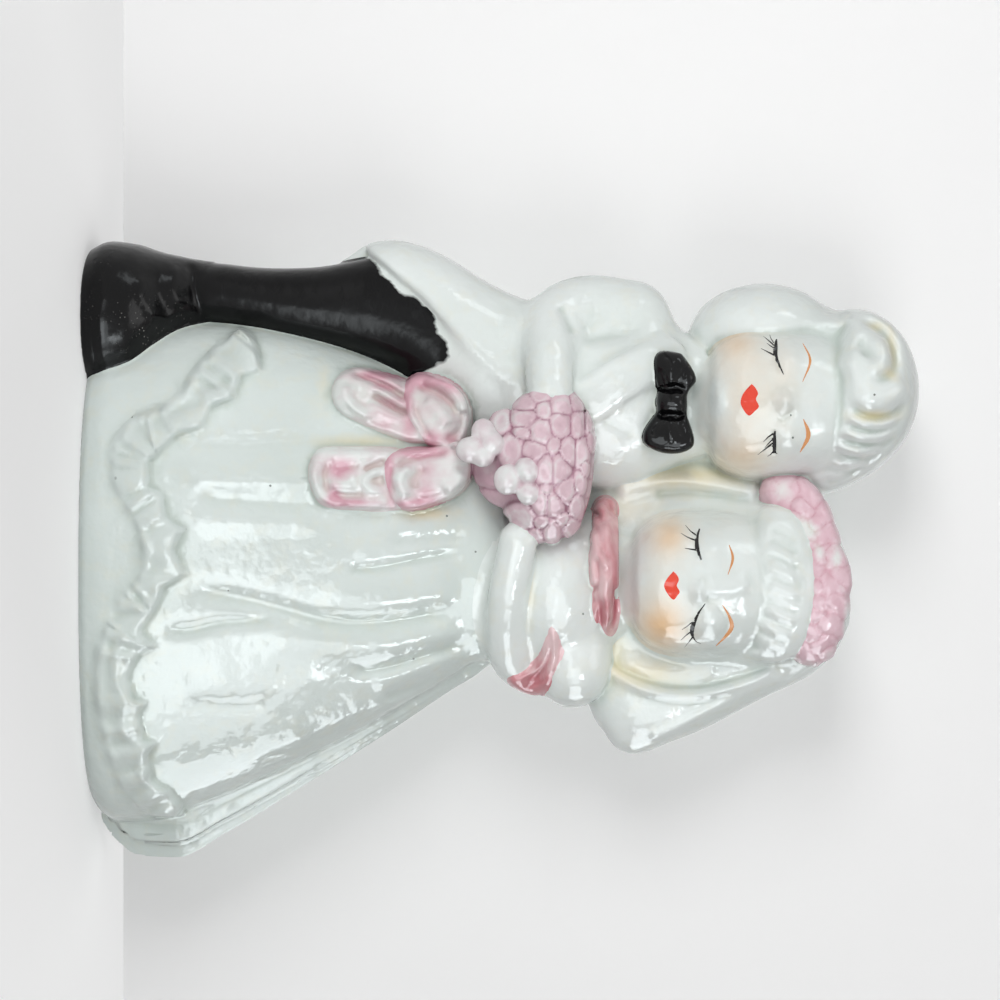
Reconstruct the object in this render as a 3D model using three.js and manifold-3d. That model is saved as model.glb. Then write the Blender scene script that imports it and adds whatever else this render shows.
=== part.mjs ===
// A bride and groom wedding cake topper: a slip-cast, glazed ceramic couple standing on one open foot.
// Millimetres, +Z up, the front faces -Y, the origin is the middle of the foot on the ground.
// Each modelled element is its own solid, set against its neighbours with a thin luting gap.
import * as THREE from "three";
import { mergeVertices } from "three/addons/utils/BufferGeometryUtils.js";
import Module from "manifold-3d";

const wasm = await Module();
wasm.setup();

// Driving dimensions
const groomLegLength = 48.3; // ground to hip
const groomTrunkLength = 46.3; // hip to chin
const groomHeadHeight = 25.4; // chin to hairline
const groomStance = 21.8; // his middle, sideways from the middle of the dress
const groomLegInset = 12.6; // the same at his leg, in from the edge of the skirt
const skirtHeight = 63.5; // foot to the top of the skirt, inside the bodice
const skirtWidth = 82; // at its widest, near the hem
const skirtDepth = 40; // front to back, near the hem
const bodiceHeight = 25.4; // waist to neck
const brideHeadHeight = 25.4; // chin to crown
const bouquetWidth = 25.4;
const castWall = 3.6; // thickness of the cast skirt
const lutingGap = 0.3; // between neighbouring elements
const ruffleDepth = 2.6; // how far the hem ruffle stands out of the skirt
const ruffleHeight = 7.4;
const ribbonDepth = 3.4; // thickness of the bow's loops and tails
const floretRadius = 2.3;
const rosebudRadius = 1.9;
const crownFloretRadius = 2.5;
const collarDepth = 2.3; // half thickness of the pink collar
const collarHeight = 1.9; // half height of the pink collar
const armBandRadius = 1.3; // half thickness of the band round her arm
const bowTieWidth = 15.6;
const bowTieHeight = 6.8;
const bowTieDepth = 4.4;
const lapelWidth = 6.2;
const lapelDepth = 2.4;
const cutOverrun = 4; // how far a cutting tool passes the surface it opens

// Fineness of the surfaces, in counts
const skirtSides = 52;
const bodySides = 18;
const headSides = 18;
const tubeSides = 8;
const blobSides = 14;
const floretSides = 6;
const ringSides = 18;
const ringThickSides = 6;

// A closed solid from a geometry whose faces point out
function solid(geometry) {
  const bare = geometry.clone();
  bare.deleteAttribute("normal");
  bare.deleteAttribute("uv");
  const merged = mergeVertices(bare, 1e-4);
  return new wasm.Manifold(
    new wasm.Mesh({
      numProp: 3,
      vertProperties: new Float32Array(merged.attributes.position.array),
      triVerts: new Uint32Array(merged.index.array),
    }),
  );
}

// A skin over rings of points, each counterclockwise seen from the end, closed by a fan at both ends
function skin(rings) {
  const sides = rings[0].length;
  const centre = (ring) =>
    ring.reduce((sum, p) => sum.add(p), new THREE.Vector3()).divideScalar(sides);
  const points = [...rings.flat(), centre(rings[0]), centre(rings.at(-1))];
  const first = rings.length * sides;
  const faces = [];
  for (let i = 0; i < sides; i++) {
    const j = (i + 1) % sides;
    faces.push(first, j, i);
    faces.push(first + 1, first - sides + i, first - sides + j);
    for (let row = 0; row < rings.length - 1; row++) {
      const a = row * sides;
      const b = a + sides;
      faces.push(a + i, a + j, b + j, a + i, b + j, b + i);
    }
  }
  return solid(new THREE.BufferGeometry().setFromPoints(points).setIndex(faces));
}

// Stacked superellipse sections. A row holds z, centre x, centre y, half width, front depth, back depth.
function stack(rows, { sides = bodySides, corner = 2.3, grow = 0, form = () => 1 } = {}) {
  const last = rows.length - 1;
  return skin(
    rows.map(([z, x, y, half, front, back], row) => {
      const level = z + (row === 0 ? -grow : row === last ? grow : 0);
      return Array.from({ length: sides }, (_, i) => {
        const turn = (i / sides) * 2 * Math.PI;
        const c = Math.cos(turn);
        const s = Math.sin(turn);
        const bulge = form(turn, row / last);
        const px = Math.sign(c) * Math.abs(c) ** (2 / corner) * (half * bulge + grow);
        const reach = (s < 0 ? front : back) * bulge + grow;
        const py = Math.sign(s) * Math.abs(s) ** (2 / corner) * reach;
        return new THREE.Vector3(x + px, y + py, level);
      });
    }),
  );
}

// An ellipsoid: centre and radii as arrays, tilt in turns round the y axis
function blob([x, y, z], [rx, ry, rz], { grow = 0, sides = blobSides, tilt = 0 } = {}) {
  const geometry = new THREE.SphereGeometry(1, sides, Math.round(sides * 0.6));
  geometry.scale(rx + grow, rz + grow, ry + grow);
  geometry.rotateX(Math.PI / 2);
  geometry.rotateY(tilt * 2 * Math.PI);
  geometry.translate(x, y, z);
  return solid(geometry);
}

// A round or flattened limb along a smooth line. A point holds x, y, z and the radius there.
function limb(points, { grow = 0, sides = tubeSides, steps = 7, flat = 1, up = [0, 0, 1] } = {}) {
  const line = new THREE.CatmullRomCurve3(points.map(([x, y, z]) => new THREE.Vector3(x, y, z)));
  const radius = (t) => {
    const s = t * (points.length - 1);
    const i = Math.min(Math.floor(s), points.length - 2);
    return THREE.MathUtils.lerp(points[i][3], points[i + 1][3], s - i) + grow;
  };
  const upward = new THREE.Vector3(...up);
  const ringAt = (t, swell, shift) => {
    const along = line.getTangent(t);
    const side = new THREE.Vector3().crossVectors(upward, along).normalize();
    const over = new THREE.Vector3().crossVectors(along, side);
    const middle = line.getPoint(t).addScaledVector(along, shift);
    const wide = radius(t) * swell;
    const thick = (radius(t) - grow) * flat * swell + grow * swell;
    return Array.from({ length: sides }, (_, i) => {
      const turn = (i / sides) * 2 * Math.PI;
      return middle
        .clone()
        .addScaledVector(side, Math.cos(turn) * thick)
        .addScaledVector(over, Math.sin(turn) * wide);
    });
  };
  const body = Array.from({ length: steps + 1 }, (_, i) => ringAt(i / steps, 1, 0));
  const roundShare = 0.7;
  const start = ringAt(0, roundShare, -radius(0) * flat * roundShare);
  const end = ringAt(1, roundShare, radius(1) * flat * roundShare);
  return skin([start, ...body, end]);
}

const join = (solids) => wasm.Manifold.union(solids);

// The largest body of a cut solid
const mainBody = (cut) =>
  cut.decompose().reduce((best, body) => (body.volume() > best.volume() ? body : best));

// Places: a carrier has an origin and one size, and a place on it is given in shares of that size
const carrier = (origin, size) => ({ origin, size });
const at = ({ origin, size }, [x, y, z]) => [
  origin[0] + x * size,
  origin[1] + y * size,
  origin[2] + z * size,
];
const stackRows = (base, rowShares) =>
  rowShares.map(([z, x, y, ...rest]) => {
    const place = at(base, [x, y, z]);
    return [place[2], place[0], place[1], ...rest.map((share) => share * base.size)];
  });
const blobsOn = (base, blobShares, options) =>
  blobShares.map(([x, y, z, rx, ry, rz, tilt = 0]) =>
    blob(at(base, [x, y, z]), [rx, ry, rz].map((share) => share * base.size), { ...options, tilt }),
  );
const limbOn = (base, limbShares, options) =>
  limb(
    limbShares.map(([x, y, z, r]) => [...at(base, [x, y, z]), r * base.size]),
    options,
  );

// The groom's leg stands against the edge of the skirt, and his trunk beside the bride's
const skirtLeftShare = -0.84;
const groomLegX = (skirtLeftShare * skirtWidth) / 2 + groomLegInset;
const groomLeg = carrier([groomLegX, 0, 0], groomLegLength);
const groomTrunk = carrier([-groomStance, 0, groomLegLength], groomTrunkLength);

// Skirt: shares of its height, half width and half depth
const skirtRowShares = [
  // z, left edge, right edge, front, back
  [0, -0.74, 0.99, 0.95, 0.5],
  [0.02, -0.78, 1.03, 1.01, 0.56],
  [0.06, -0.82, 1.06, 1.05, 0.6],
  [0.15, -0.84, 1.05, 1.04, 0.62],
  [0.28, -0.845, 0.98, 0.99, 0.6],
  [0.4, -0.83, 0.9, 0.93, 0.57],
  [0.54, -0.78, 0.795, 0.85, 0.53],
  [0.67, -0.71, 0.69, 0.77, 0.49],
  [0.79, -0.62, 0.58, 0.67, 0.44],
  [0.9, -0.51, 0.475, 0.55, 0.38],
  [1, -0.36, 0.4, 0.44, 0.33],
];
const skirtRows = (inset, fromShare = 0, toShare = 1) =>
  skirtRowShares
    .filter(([z]) => z >= fromShare && z <= toShare)
    .map(([z, left, right, front, back]) => [
      z * skirtHeight,
      (((left + right) / 2) * skirtWidth) / 2,
      0,
      (((right - left) / 2) * skirtWidth) / 2 - inset,
      (front * skirtDepth) / 2 - inset,
      (back * skirtDepth) / 2 - inset,
    ]);

function skirtRowAt(z) {
  const rows = skirtRows(0);
  const above = Math.max(1, rows.findIndex((row) => row[0] >= z));
  const [low, high] = [rows[above - 1], rows[above]];
  const blend = THREE.MathUtils.clamp((z - low[0]) / (high[0] - low[0]), 0, 1);
  return low.map((value, i) => THREE.MathUtils.lerp(value, high[i], blend));
}
const skirtFrontDepth = (z) => skirtRowAt(z)[4];

// Folds down the front of the skirt: place round it in turns, width in turns, depth share
const skirtFoldShares = [
  [0.652, 0.012, -0.035],
  [0.675, 0.01, 0.035],
  [0.7, 0.008, 0.05],
  [0.716, 0.01, -0.02],
  [0.748, 0.016, 0.012],
  [0.776, 0.009, -0.05],
  [0.8, 0.012, -0.045],
  [0.83, 0.02, 0.03],
  [0.866, 0.009, -0.03],
  [0.9, 0.018, 0.018],
  [0.6, 0.02, 0.02],
];
const skirtForm = (turn, rise) =>
  skirtFoldShares.reduce((bulge, [place, width, depth]) => {
    const away = (turn / (2 * Math.PI) - place) / width;
    return bulge + depth * Math.exp(-away * away) * (1 - rise * rise);
  }, 1);

const skirtCorner = 2.5;
const skirtOuter = (grow) =>
  stack(skirtRows(0), { grow, sides: skirtSides, corner: skirtCorner, form: skirtForm });
const skirtCavityTopShare = 0.8;

function skirt() {
  const rows = skirtRows(castWall, 0, skirtCavityTopShare);
  rows[0][0] -= cutOverrun;
  const cavity = stack(rows, { sides: bodySides, corner: skirtCorner });
  return skirtOuter(0).subtract(cavity);
}

// Train: the back of the dress, a little wider than the front panel on her left
const trainRowShares = [
  // z, left edge, right edge, front, back
  [0, -0.7, 1.01, 0.1, 0.84],
  [0.026, -0.74, 1.07, 0.16, 0.92],
  [0.09, -0.77, 1.145, 0.24, 0.95],
  [0.187, -0.78, 1.16, 0.26, 0.94],
  [0.313, -0.77, 1.07, 0.26, 0.88],
  [0.506, -0.7, 0.9, 0.25, 0.8],
  [0.694, -0.6, 0.725, 0.22, 0.7],
  [0.87, -0.46, 0.55, 0.18, 0.56],
  [0.95, -0.37, 0.47, 0.14, 0.48],
];
const trainPleats = 13;
const trainPleatShare = 0.035;
const trainForm = (turn, rise) => 1 + trainPleatShare * (1 - rise) * Math.cos(turn * trainPleats);
const train = (grow) =>
  stack(
    trainRowShares.map(([z, left, right, front, back]) => [
      z * skirtHeight,
      (((left + right) / 2) * skirtWidth) / 2,
      0,
      (((right - left) / 2) * skirtWidth) / 2,
      (front * skirtDepth) / 2,
      (back * skirtDepth) / 2,
    ]),
    { grow, sides: skirtSides, corner: 2.4, form: trainForm },
  );

// Trousers and shoe: shares of his leg's length
const trouserRowShares = [
  // z, x, y, half width, front, back
  [0.263, -0.351, 0.013, 0.11, 0.137, 0.163],
  [0.368, -0.355, 0, 0.104, 0.131, 0.158],
  [0.5, -0.337, 0, 0.108, 0.137, 0.163],
  [0.605, -0.323, 0, 0.118, 0.145, 0.168],
  [0.71, -0.314, 0, 0.131, 0.153, 0.174],
  [0.868, -0.309, 0, 0.171, 0.174, 0.184],
  [1.025, -0.272, 0, 0.179, 0.192, 0.184],
  [1.21, -0.206, 0, 0.163, 0.184, 0.174],
];
const trousers = (grow) => stack(stackRows(groomLeg, trouserRowShares), { grow });

const shoeRowShares = [
  [0, -0.269, -0.092, 0.226, 0.276, 0.276],
  [0.053, -0.282, -0.092, 0.237, 0.294, 0.294],
  [0.131, -0.29, -0.079, 0.223, 0.284, 0.289],
  [0.21, -0.311, -0.058, 0.179, 0.237, 0.25],
  [0.289, -0.34, -0.032, 0.134, 0.179, 0.2],
  [0.368, -0.353, 0, 0.108, 0.137, 0.163],
];
const shoe = (grow) => stack(stackRows(groomLeg, shoeRowShares), { grow });

// Tailcoat: body, cut away below a slanting front edge, with two tails behind.
// Shares of his trunk's length, from the hip up.
const coatRowShares = [
  [-0.22, -0.352, 0.027, 0.137, 0.192, 0.206],
  [-0.138, -0.33, 0.027, 0.214, 0.219, 0.225],
  [-0.028, -0.297, 0.022, 0.258, 0.236, 0.233],
  [0.136, -0.215, 0.014, 0.28, 0.233, 0.228],
  [0.273, -0.127, 0.008, 0.277, 0.219, 0.219],
  [0.383, -0.07, 0, 0.285, 0.214, 0.214],
  [0.52, -0.034, 0, 0.285, 0.23, 0.225],
  [0.657, -0.001, 0, 0.291, 0.241, 0.23],
  [0.767, -0.015, 0, 0.296, 0.23, 0.219],
  [0.849, -0.031, 0, 0.274, 0.203, 0.203],
  [0.918, -0.023, 0, 0.23, 0.181, 0.181],
  [1, -0.017, 0, 0.192, 0.159, 0.159],
];
const coatEdgeShares = [
  // the slanting front edge, from the hip to under the bouquet: x, z
  [-0.681, -0.303],
  [-0.503, -0.124],
  [-0.352, 0.054],
  [-0.215, 0.177],
  [-0.05, 0.342],
  [0.361, 0.383],
];
const tailShares = [
  // x, y, z, radius
  [-0.174, 0.123, 0.164, 0.126],
  [-0.264, 0.176, -0.111, 0.121],
  [-0.283, 0.165, -0.495, 0.093],
];
const tailSpreadShare = 0.181;
const tailFlatShare = 0.42;

// Everything in front of the coat's middle and below its front edge
function coatCutaway(grow) {
  const outline = new THREE.Shape();
  coatEdgeShares.forEach(([x, z], i) => {
    const place = at(groomTrunk, [x, 0, z]);
    outline[i === 0 ? "moveTo" : "lineTo"](place[0], place[2] - grow);
  });
  const [low] = coatEdgeShares;
  const high = coatEdgeShares.at(-1);
  outline.lineTo(at(groomTrunk, [high[0], 0, 0])[0], 0);
  outline.lineTo(at(groomTrunk, [low[0], 0, 0])[0], 0);
  const geometry = new THREE.ExtrudeGeometry(outline, {
    depth: groomTrunkLength,
    bevelEnabled: false,
  });
  geometry.rotateX(Math.PI / 2);
  geometry.translate(0, lutingGap, 0);
  return solid(geometry);
}
const coatBody = (grow) =>
  stack(stackRows(groomTrunk, coatRowShares), { grow }).subtract(coatCutaway(grow));
const coatTails = (grow) =>
  [-0.5, 0.5].map((side) =>
    limbOn(carrier(at(groomTrunk, [side * tailSpreadShare, 0, 0]), groomTrunkLength), tailShares, {
      grow,
      flat: tailFlatShare,
      up: [1, 0, 0],
    }),
  );
const coat = (grow) => join([coatBody(grow), ...coatTails(grow)]);

// Groom's arm, in its sleeve, from the shoulder to the bouquet
const sleeveShares = [
  [-0.275, -0.016, 0.745, 0.143],
  [-0.308, -0.027, 0.603, 0.123],
  [-0.275, -0.093, 0.504, 0.104],
  [-0.174, -0.206, 0.482, 0.085],
  [-0.023, -0.296, 0.482, 0.074],
];
const groomSleeve = (grow) => limbOn(groomTrunk, sleeveShares, { grow, sides: 12, up: [1, 1.7, 0] });

// Lapel of the coat and the bow tie
const lapelShares = [
  [-0.149, -0.159, 0.863],
  [-0.116, -0.214, 0.789],
  [-0.07, -0.241, 0.707],
  [-0.001, -0.241, 0.608],
];
const lapel = (grow) =>
  limb(
    lapelShares.map((place) => [...at(groomTrunk, place), lapelWidth / 2]),
    { grow, flat: lapelDepth / lapelWidth, steps: 9, up: [1, 0, 0.6] },
  );

const bowTieCentreShares = [0.002, -0.214, 0.882];
const bowWingShares = [
  // x, y, z and radii, in shares of the bow tie's width, depth and height
  [-0.27, 0, 0.04, 0.24, 0.48, 0.46],
  [0.27, 0, -0.06, 0.23, 0.48, 0.5],
  [0, -0.16, 0, 0.14, 0.52, 0.34],
];
const bowTie = (grow) =>
  join(
    bowWingShares.map(([x, y, z, rx, ry, rz]) => {
      const [cx, cy, cz] = at(groomTrunk, bowTieCentreShares);
      return blob(
        [cx + x * bowTieWidth, cy + y * bowTieDepth, cz + z * bowTieHeight],
        [rx * bowTieWidth, ry * bowTieDepth, rz * bowTieHeight],
        { grow, sides: 10 },
      );
    }),
  );

// Groom's head: shares of its height, measured from the chin
const groomChin = carrier(at(groomTrunk, [0, 0, 1]), groomHeadHeight);
const groomFaceRowShares = [
  [-0.12, 0, 0, 0.3, 0.26, 0.24],
  [0, 0, 0, 0.3, 0.41, 0.3],
  [0.06, 0, 0, 0.38, 0.48, 0.34],
  [0.15, 0, 0, 0.44, 0.525, 0.38],
  [0.275, 0, 0, 0.475, 0.55, 0.42],
  [0.425, 0, 0, 0.48, 0.56, 0.46],
  [0.625, 0, 0, 0.465, 0.54, 0.48],
  [0.825, 0, 0, 0.4, 0.475, 0.45],
  [0.975, 0, 0, 0.27, 0.32, 0.3],
];
const groomHead = (grow) =>
  stack(stackRows(groomChin, groomFaceRowShares), { grow, sides: headSides, corner: 2.15 });
const groomHairShares = [
  // x, y, z, then radii: the side, the other side, the quiff and the back
  [-0.4, 0.085, 0.36, 0.345, 0.42, 0.46],
  [0.15, 0.085, 0.58, 0.42, 0.45, 0.55],
  [-0.08, -0.03, 0.885, 0.5, 0.58, 0.415],
  [-0.1, 0.22, 0.5, 0.52, 0.45, 0.6],
];
const groomHair = (grow) => join(blobsOn(groomChin, groomHairShares, { grow }));

// Bride's bodice, shares of its height, measured from the waist
const waist = carrier([0, 0, 0.93 * skirtHeight], bodiceHeight);
const bodiceRowShares = [
  [-0.1, 0.2, 0, 0.45, 0.38, 0.34],
  [0.05, 0.23, 0, 0.46, 0.4, 0.35],
  [0.25, 0.26, 0, 0.5, 0.44, 0.37],
  [0.5, 0.28, 0, 0.52, 0.48, 0.38],
  [0.7, 0.27, 0, 0.5, 0.46, 0.37],
  [0.85, 0.24, -0.04, 0.4, 0.36, 0.33],
  [1, 0.235, -0.06, 0.32, 0.3, 0.3],
];
const bustShares = [[0.24, -0.28, 0.5, 0.34, 0.25, 0.22]];
const bodice = (grow) =>
  join([stack(stackRows(waist, bodiceRowShares), { grow }), ...blobsOn(waist, bustShares, { grow })]);

// Bride's arm, puffed sleeve and the band below it
const forearmShares = [
  [0.76, -0.02, 0.52, 0.13],
  [0.77, -0.1, 0.32, 0.135],
  [0.64, -0.27, 0.2, 0.125],
  [0.32, -0.47, 0.2, 0.115],
  [-0.03, -0.56, 0.27, 0.115],
];
const brideArm = (grow) => limbOn(waist, forearmShares, { grow, sides: 12, up: [-1, 1.6, -0.6] });
const puffSleeveShares = [[0.735, -0.09, 0.59, 0.26, 0.28, 0.22, 0.03]];
const puffSleeve = (grow) => join(blobsOn(waist, puffSleeveShares, { grow }));
const armBandCentreShares = [0.745, -0.12, 0.42];
const armBandReachShare = 0.19;
const armBandTilt = 0.38; // radians
function armBand(grow) {
  const reach = armBandReachShare * bodiceHeight;
  const geometry = new THREE.TorusGeometry(reach, armBandRadius + grow, ringThickSides, ringSides);
  geometry.scale(1, 1, 1.5);
  geometry.rotateY(armBandTilt);
  geometry.translate(...at(waist, armBandCentreShares));
  return solid(geometry);
}

// Bride's head: shares of its height, measured from the chin
const brideChin = carrier(at(waist, [0.235, -0.1, 0.94]), brideHeadHeight);
const brideFaceRowShares = [
  [-0.12, 0, 0, 0.26, 0.22, 0.24],
  [0, 0, 0, 0.28, 0.36, 0.28],
  [0.06, 0, 0, 0.35, 0.45, 0.32],
  [0.15, 0, 0, 0.41, 0.5, 0.38],
  [0.29, 0, 0, 0.45, 0.53, 0.43],
  [0.44, 0, 0, 0.46, 0.535, 0.46],
  [0.64, 0, 0, 0.445, 0.51, 0.47],
  [0.84, 0, 0, 0.39, 0.43, 0.43],
  [1, 0, 0, 0.28, 0.3, 0.3],
];
const brideHead = (grow) =>
  stack(stackRows(brideChin, brideFaceRowShares), { grow, sides: headSides, corner: 2.15 });
const brideHairShares = [
  // x, y, z, then radii: the fall round the face, the crown and the fringe
  [0.01, 0.12, 0.43, 0.56, 0.46, 0.56],
  [0.01, 0.06, 0.82, 0.52, 0.42, 0.4],
  [-0.02, -0.3, 0.88, 0.38, 0.27, 0.24],
];
const brideHair = (grow) => join(blobsOn(brideChin, brideHairShares, { grow }));

// Veil: a hood with wings to both sides, and a drape down her back
const veilRowShares = [
  // z, x, y, half width, front, back
  [-1.75, 0.03, 0.6, 0.5, 0.08, 0.09],
  [-1.2, 0.03, 0.54, 0.5, 0.1, 0.12],
  [-0.8, 0.03, 0.46, 0.5, 0.12, 0.16],
  [-0.45, 0.02, 0.34, 0.52, 0.18, 0.24],
  [-0.27, 0, 0.26, 0.66, 0.23, 0.28],
  [-0.12, 0.02, 0.22, 0.84, 0.27, 0.32],
  [0, 0.09, 0.19, 0.92, 0.28, 0.37],
  [0.07, 0.1, 0.18, 0.93, 0.28, 0.38],
  [0.24, 0.085, 0.17, 0.86, 0.28, 0.42],
  [0.54, 0.065, 0.15, 0.76, 0.28, 0.47],
  [0.84, 0.04, 0.13, 0.65, 0.27, 0.49],
  [1.09, 0.03, 0.1, 0.54, 0.28, 0.48],
  [1.25, 0.04, 0.08, 0.38, 0.26, 0.38],
  [1.33, 0.06, 0.06, 0.2, 0.16, 0.2],
];
const veil = (grow) => stack(stackRows(brideChin, veilRowShares), { grow, corner: 2.6 });

// Flowers of the headpiece, in two rows along her hairline
const crownLineShares = [
  [-0.55, -0.07, 0.9],
  [-0.52, -0.12, 1],
  [-0.37, -0.2, 1.09],
  [-0.14, -0.26, 1.145],
  [0.06, -0.27, 1.16],
  [0.24, -0.23, 1.125],
  [0.4, -0.14, 1.055],
];
const crownFlorets = 9;
function headpiece(grow) {
  const line = new THREE.CatmullRomCurve3(
    crownLineShares.map((place) => new THREE.Vector3(...at(brideChin, place))),
  );
  const core = limb(
    line.getPoints(7).map((p) => [p.x, p.y, p.z, crownFloretRadius * 0.9]),
    { grow, sides: 6, steps: 9 },
  );
  const florets = Array.from({ length: crownFlorets * 2 }, (_, i) => {
    const upper = i % 2 ? 0.55 : -0.55;
    const p = line.getPoint((Math.floor(i / 2) + (i % 2 ? 0.5 : 0.1)) / crownFlorets);
    const radius = crownFloretRadius;
    return blob(
      [p.x, p.y - radius * 0.45, p.z + upper * radius],
      [radius, radius * 0.75, radius],
      { grow, sides: floretSides },
    );
  });
  return join([core, ...florets]);
}

// Pink collar round her neck
const collarCentreShares = [-0.087, 0.02, -0.15];
const collarReachShare = 0.36;
const collarRoundness = 0.92; // front to back, against side to side
function collar(grow) {
  const reach = collarReachShare * brideHeadHeight;
  const geometry = new THREE.TorusGeometry(reach, collarDepth + grow, ringThickSides, ringSides);
  geometry.scale(1, collarRoundness, collarHeight / collarDepth);
  geometry.translate(...at(brideChin, collarCentreShares));
  return solid(geometry);
}

// Bouquet: a nest of florets over a core, shares of its width from its middle
const bouquetLeanShare = 0.565; // how far it hangs from her middle towards his
const bouquetMiddle = at(waist, [0, -0.52, 0.45]);
const bouquet = carrier(
  [-groomStance * bouquetLeanShare, bouquetMiddle[1], bouquetMiddle[2]],
  bouquetWidth,
);
const bouquetCoreShares = [
  [0, 0, 0, 0.47, 0.24, 0.255],
  [-0.02, 0.02, -0.26, 0.3, 0.19, 0.22],
];
const floretRowShares = [
  // height, reach sideways, count
  [0.19, 0.3, 4],
  [0.07, 0.41, 6],
  [-0.06, 0.42, 6],
  [-0.19, 0.32, 4],
];
const floretDepthShare = 0.19;
function bouquetNest(grow) {
  const florets = floretRowShares.flatMap(([z, reach, count], row) =>
    Array.from({ length: count }, (_, i) => {
      const across = ((i + (row % 2 ? 0.5 : 0.4)) / count) * 2 - 1;
      const place = [
        across * reach,
        -floretDepthShare * Math.sqrt(1 - 0.75 * across * across),
        z,
      ];
      return blob(
        at(bouquet, place),
        [floretRadius, floretRadius * 0.8, floretRadius],
        { grow, sides: floretSides },
      );
    }),
  );
  return join([...blobsOn(bouquet, bouquetCoreShares, { grow, sides: 12 }), ...florets]);
}
const rosebudShares = [
  [0.06, -0.225, -0.085],
  [0.19, -0.21, -0.08],
  [0.115, -0.21, -0.2],
  [-0.1, -0.17, -0.3],
  [-0.02, -0.18, -0.345],
  [-0.06, -0.17, -0.42],
  [-0.17, -0.15, -0.34],
];
const rosebud = (place, grow) =>
  blob(at(bouquet, place), [rosebudRadius, rosebudRadius * 0.9, rosebudRadius], {
    grow,
    sides: 8,
  });

// Bow below the bouquet: two loops and two tails. Across, share of the skirt's front, up and radius.
const leftLoopShares = [
  [-0.12, 1.22, -0.53, 0.1],
  [-0.28, 1.19, -0.56, 0.16],
  [-0.42, 1.04, -0.68, 0.16],
  [-0.5, 0.9, -0.8, 0.08],
];
const rightLoopShares = [
  [-0.06, 1.24, -0.53, 0.1],
  [0.02, 1.24, -0.6, 0.17],
  [0.1, 1.12, -0.74, 0.185],
  [0.12, 1.06, -0.88, 0.13],
];
const leftTailShares = [
  [-0.265, 1, -0.775, 0.13],
  [-0.35, 0.96, -0.95, 0.155],
  [-0.43, 0.89, -1.13, 0.14],
];
const rightTailShares = [
  [0.09, 1.06, -0.88, 0.14],
  [0.085, 1.05, -1.06, 0.17],
  [0.08, 1.01, -1.3, 0.16],
];
const ribbonOptions = (shares, grow) => ({
  grow,
  steps: 9,
  flat: ribbonDepth / 2 / (shares[1][3] * bouquetWidth),
  up: [1, 0, 0],
});
function ribbon(shares, grow) {
  const points = shares.map(([x, lie, z, r]) => {
    const [px, , pz] = at(bouquet, [x, 0, z]);
    return [px, -lie * skirtFrontDepth(pz), pz, r * bouquetWidth];
  });
  return limb(points, ribbonOptions(shares, grow));
}

// Hem ruffle: a wavy band laid on the front of the skirt, lifted towards the groom's leg
const ruffleLineShares = [
  // across, in half widths of the skirt, and up, in its heights
  [-0.82, 0.385],
  [-0.68, 0.36],
  [-0.59, 0.31],
  [-0.51, 0.245],
  [-0.434, 0.195],
  [-0.356, 0.15],
  [-0.28, 0.13],
  [-0.186, 0.158],
  [-0.093, 0.194],
  [0, 0.215],
  [0.108, 0.208],
  [0.186, 0.165],
  [0.28, 0.135],
  [0.4, 0.118],
  [0.548, 0.112],
  [0.7, 0.122],
  [0.86, 0.134],
  [0.96, 0.152],
  [1.03, 0.175],
];
const ruffleWaves = 12;
const ruffleSteps = 48;
const ruffleWaveShare = 0.3;

// The front of the skirt at a place across and up it
function skirtFront(across, z, out) {
  const [, x, , half, front] = skirtRowAt(z);
  const away = THREE.MathUtils.clamp((across - x) / half, -1, 1);
  const c = Math.abs(away) ** (skirtCorner / 2);
  const s = Math.sqrt(1 - c * c);
  const px = Math.sign(away) * c ** (2 / skirtCorner) * half + Math.sign(away) * c * out;
  return new THREE.Vector3(x + px, -(s ** (2 / skirtCorner)) * front - s * out, z);
}

function ruffle(grow) {
  const line = new THREE.SplineCurve(ruffleLineShares.map(([x, z]) => new THREE.Vector2(x, z)));
  const rings = Array.from({ length: ruffleSteps + 1 }, (_, i) => {
    const share = i / ruffleSteps;
    const { x: across, y: level } = line.getPoint(share);
    const wave = Math.sin(share * ruffleWaves * 2 * Math.PI);
    const lip = ruffleDepth * (1 + ruffleWaveShare * wave);
    const middle = level * skirtHeight;
    const half = (ruffleHeight / 2) * (1 + 0.12 * wave) + grow;
    const section = [
      [-castWall / 2 - grow, 0.9],
      [lip * 0.55 + grow, 1],
      [lip * 0.6 + grow, 0.6],
      [lip + grow, -0.3],
      [lip * 0.75 + grow, -1],
      [-castWall / 2 - grow, -0.8],
    ];
    return section.map(([out, rise]) =>
      skirtFront((across * skirtWidth) / 2, middle + rise * half, out),
    );
  });
  return skin(rings);
}

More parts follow.
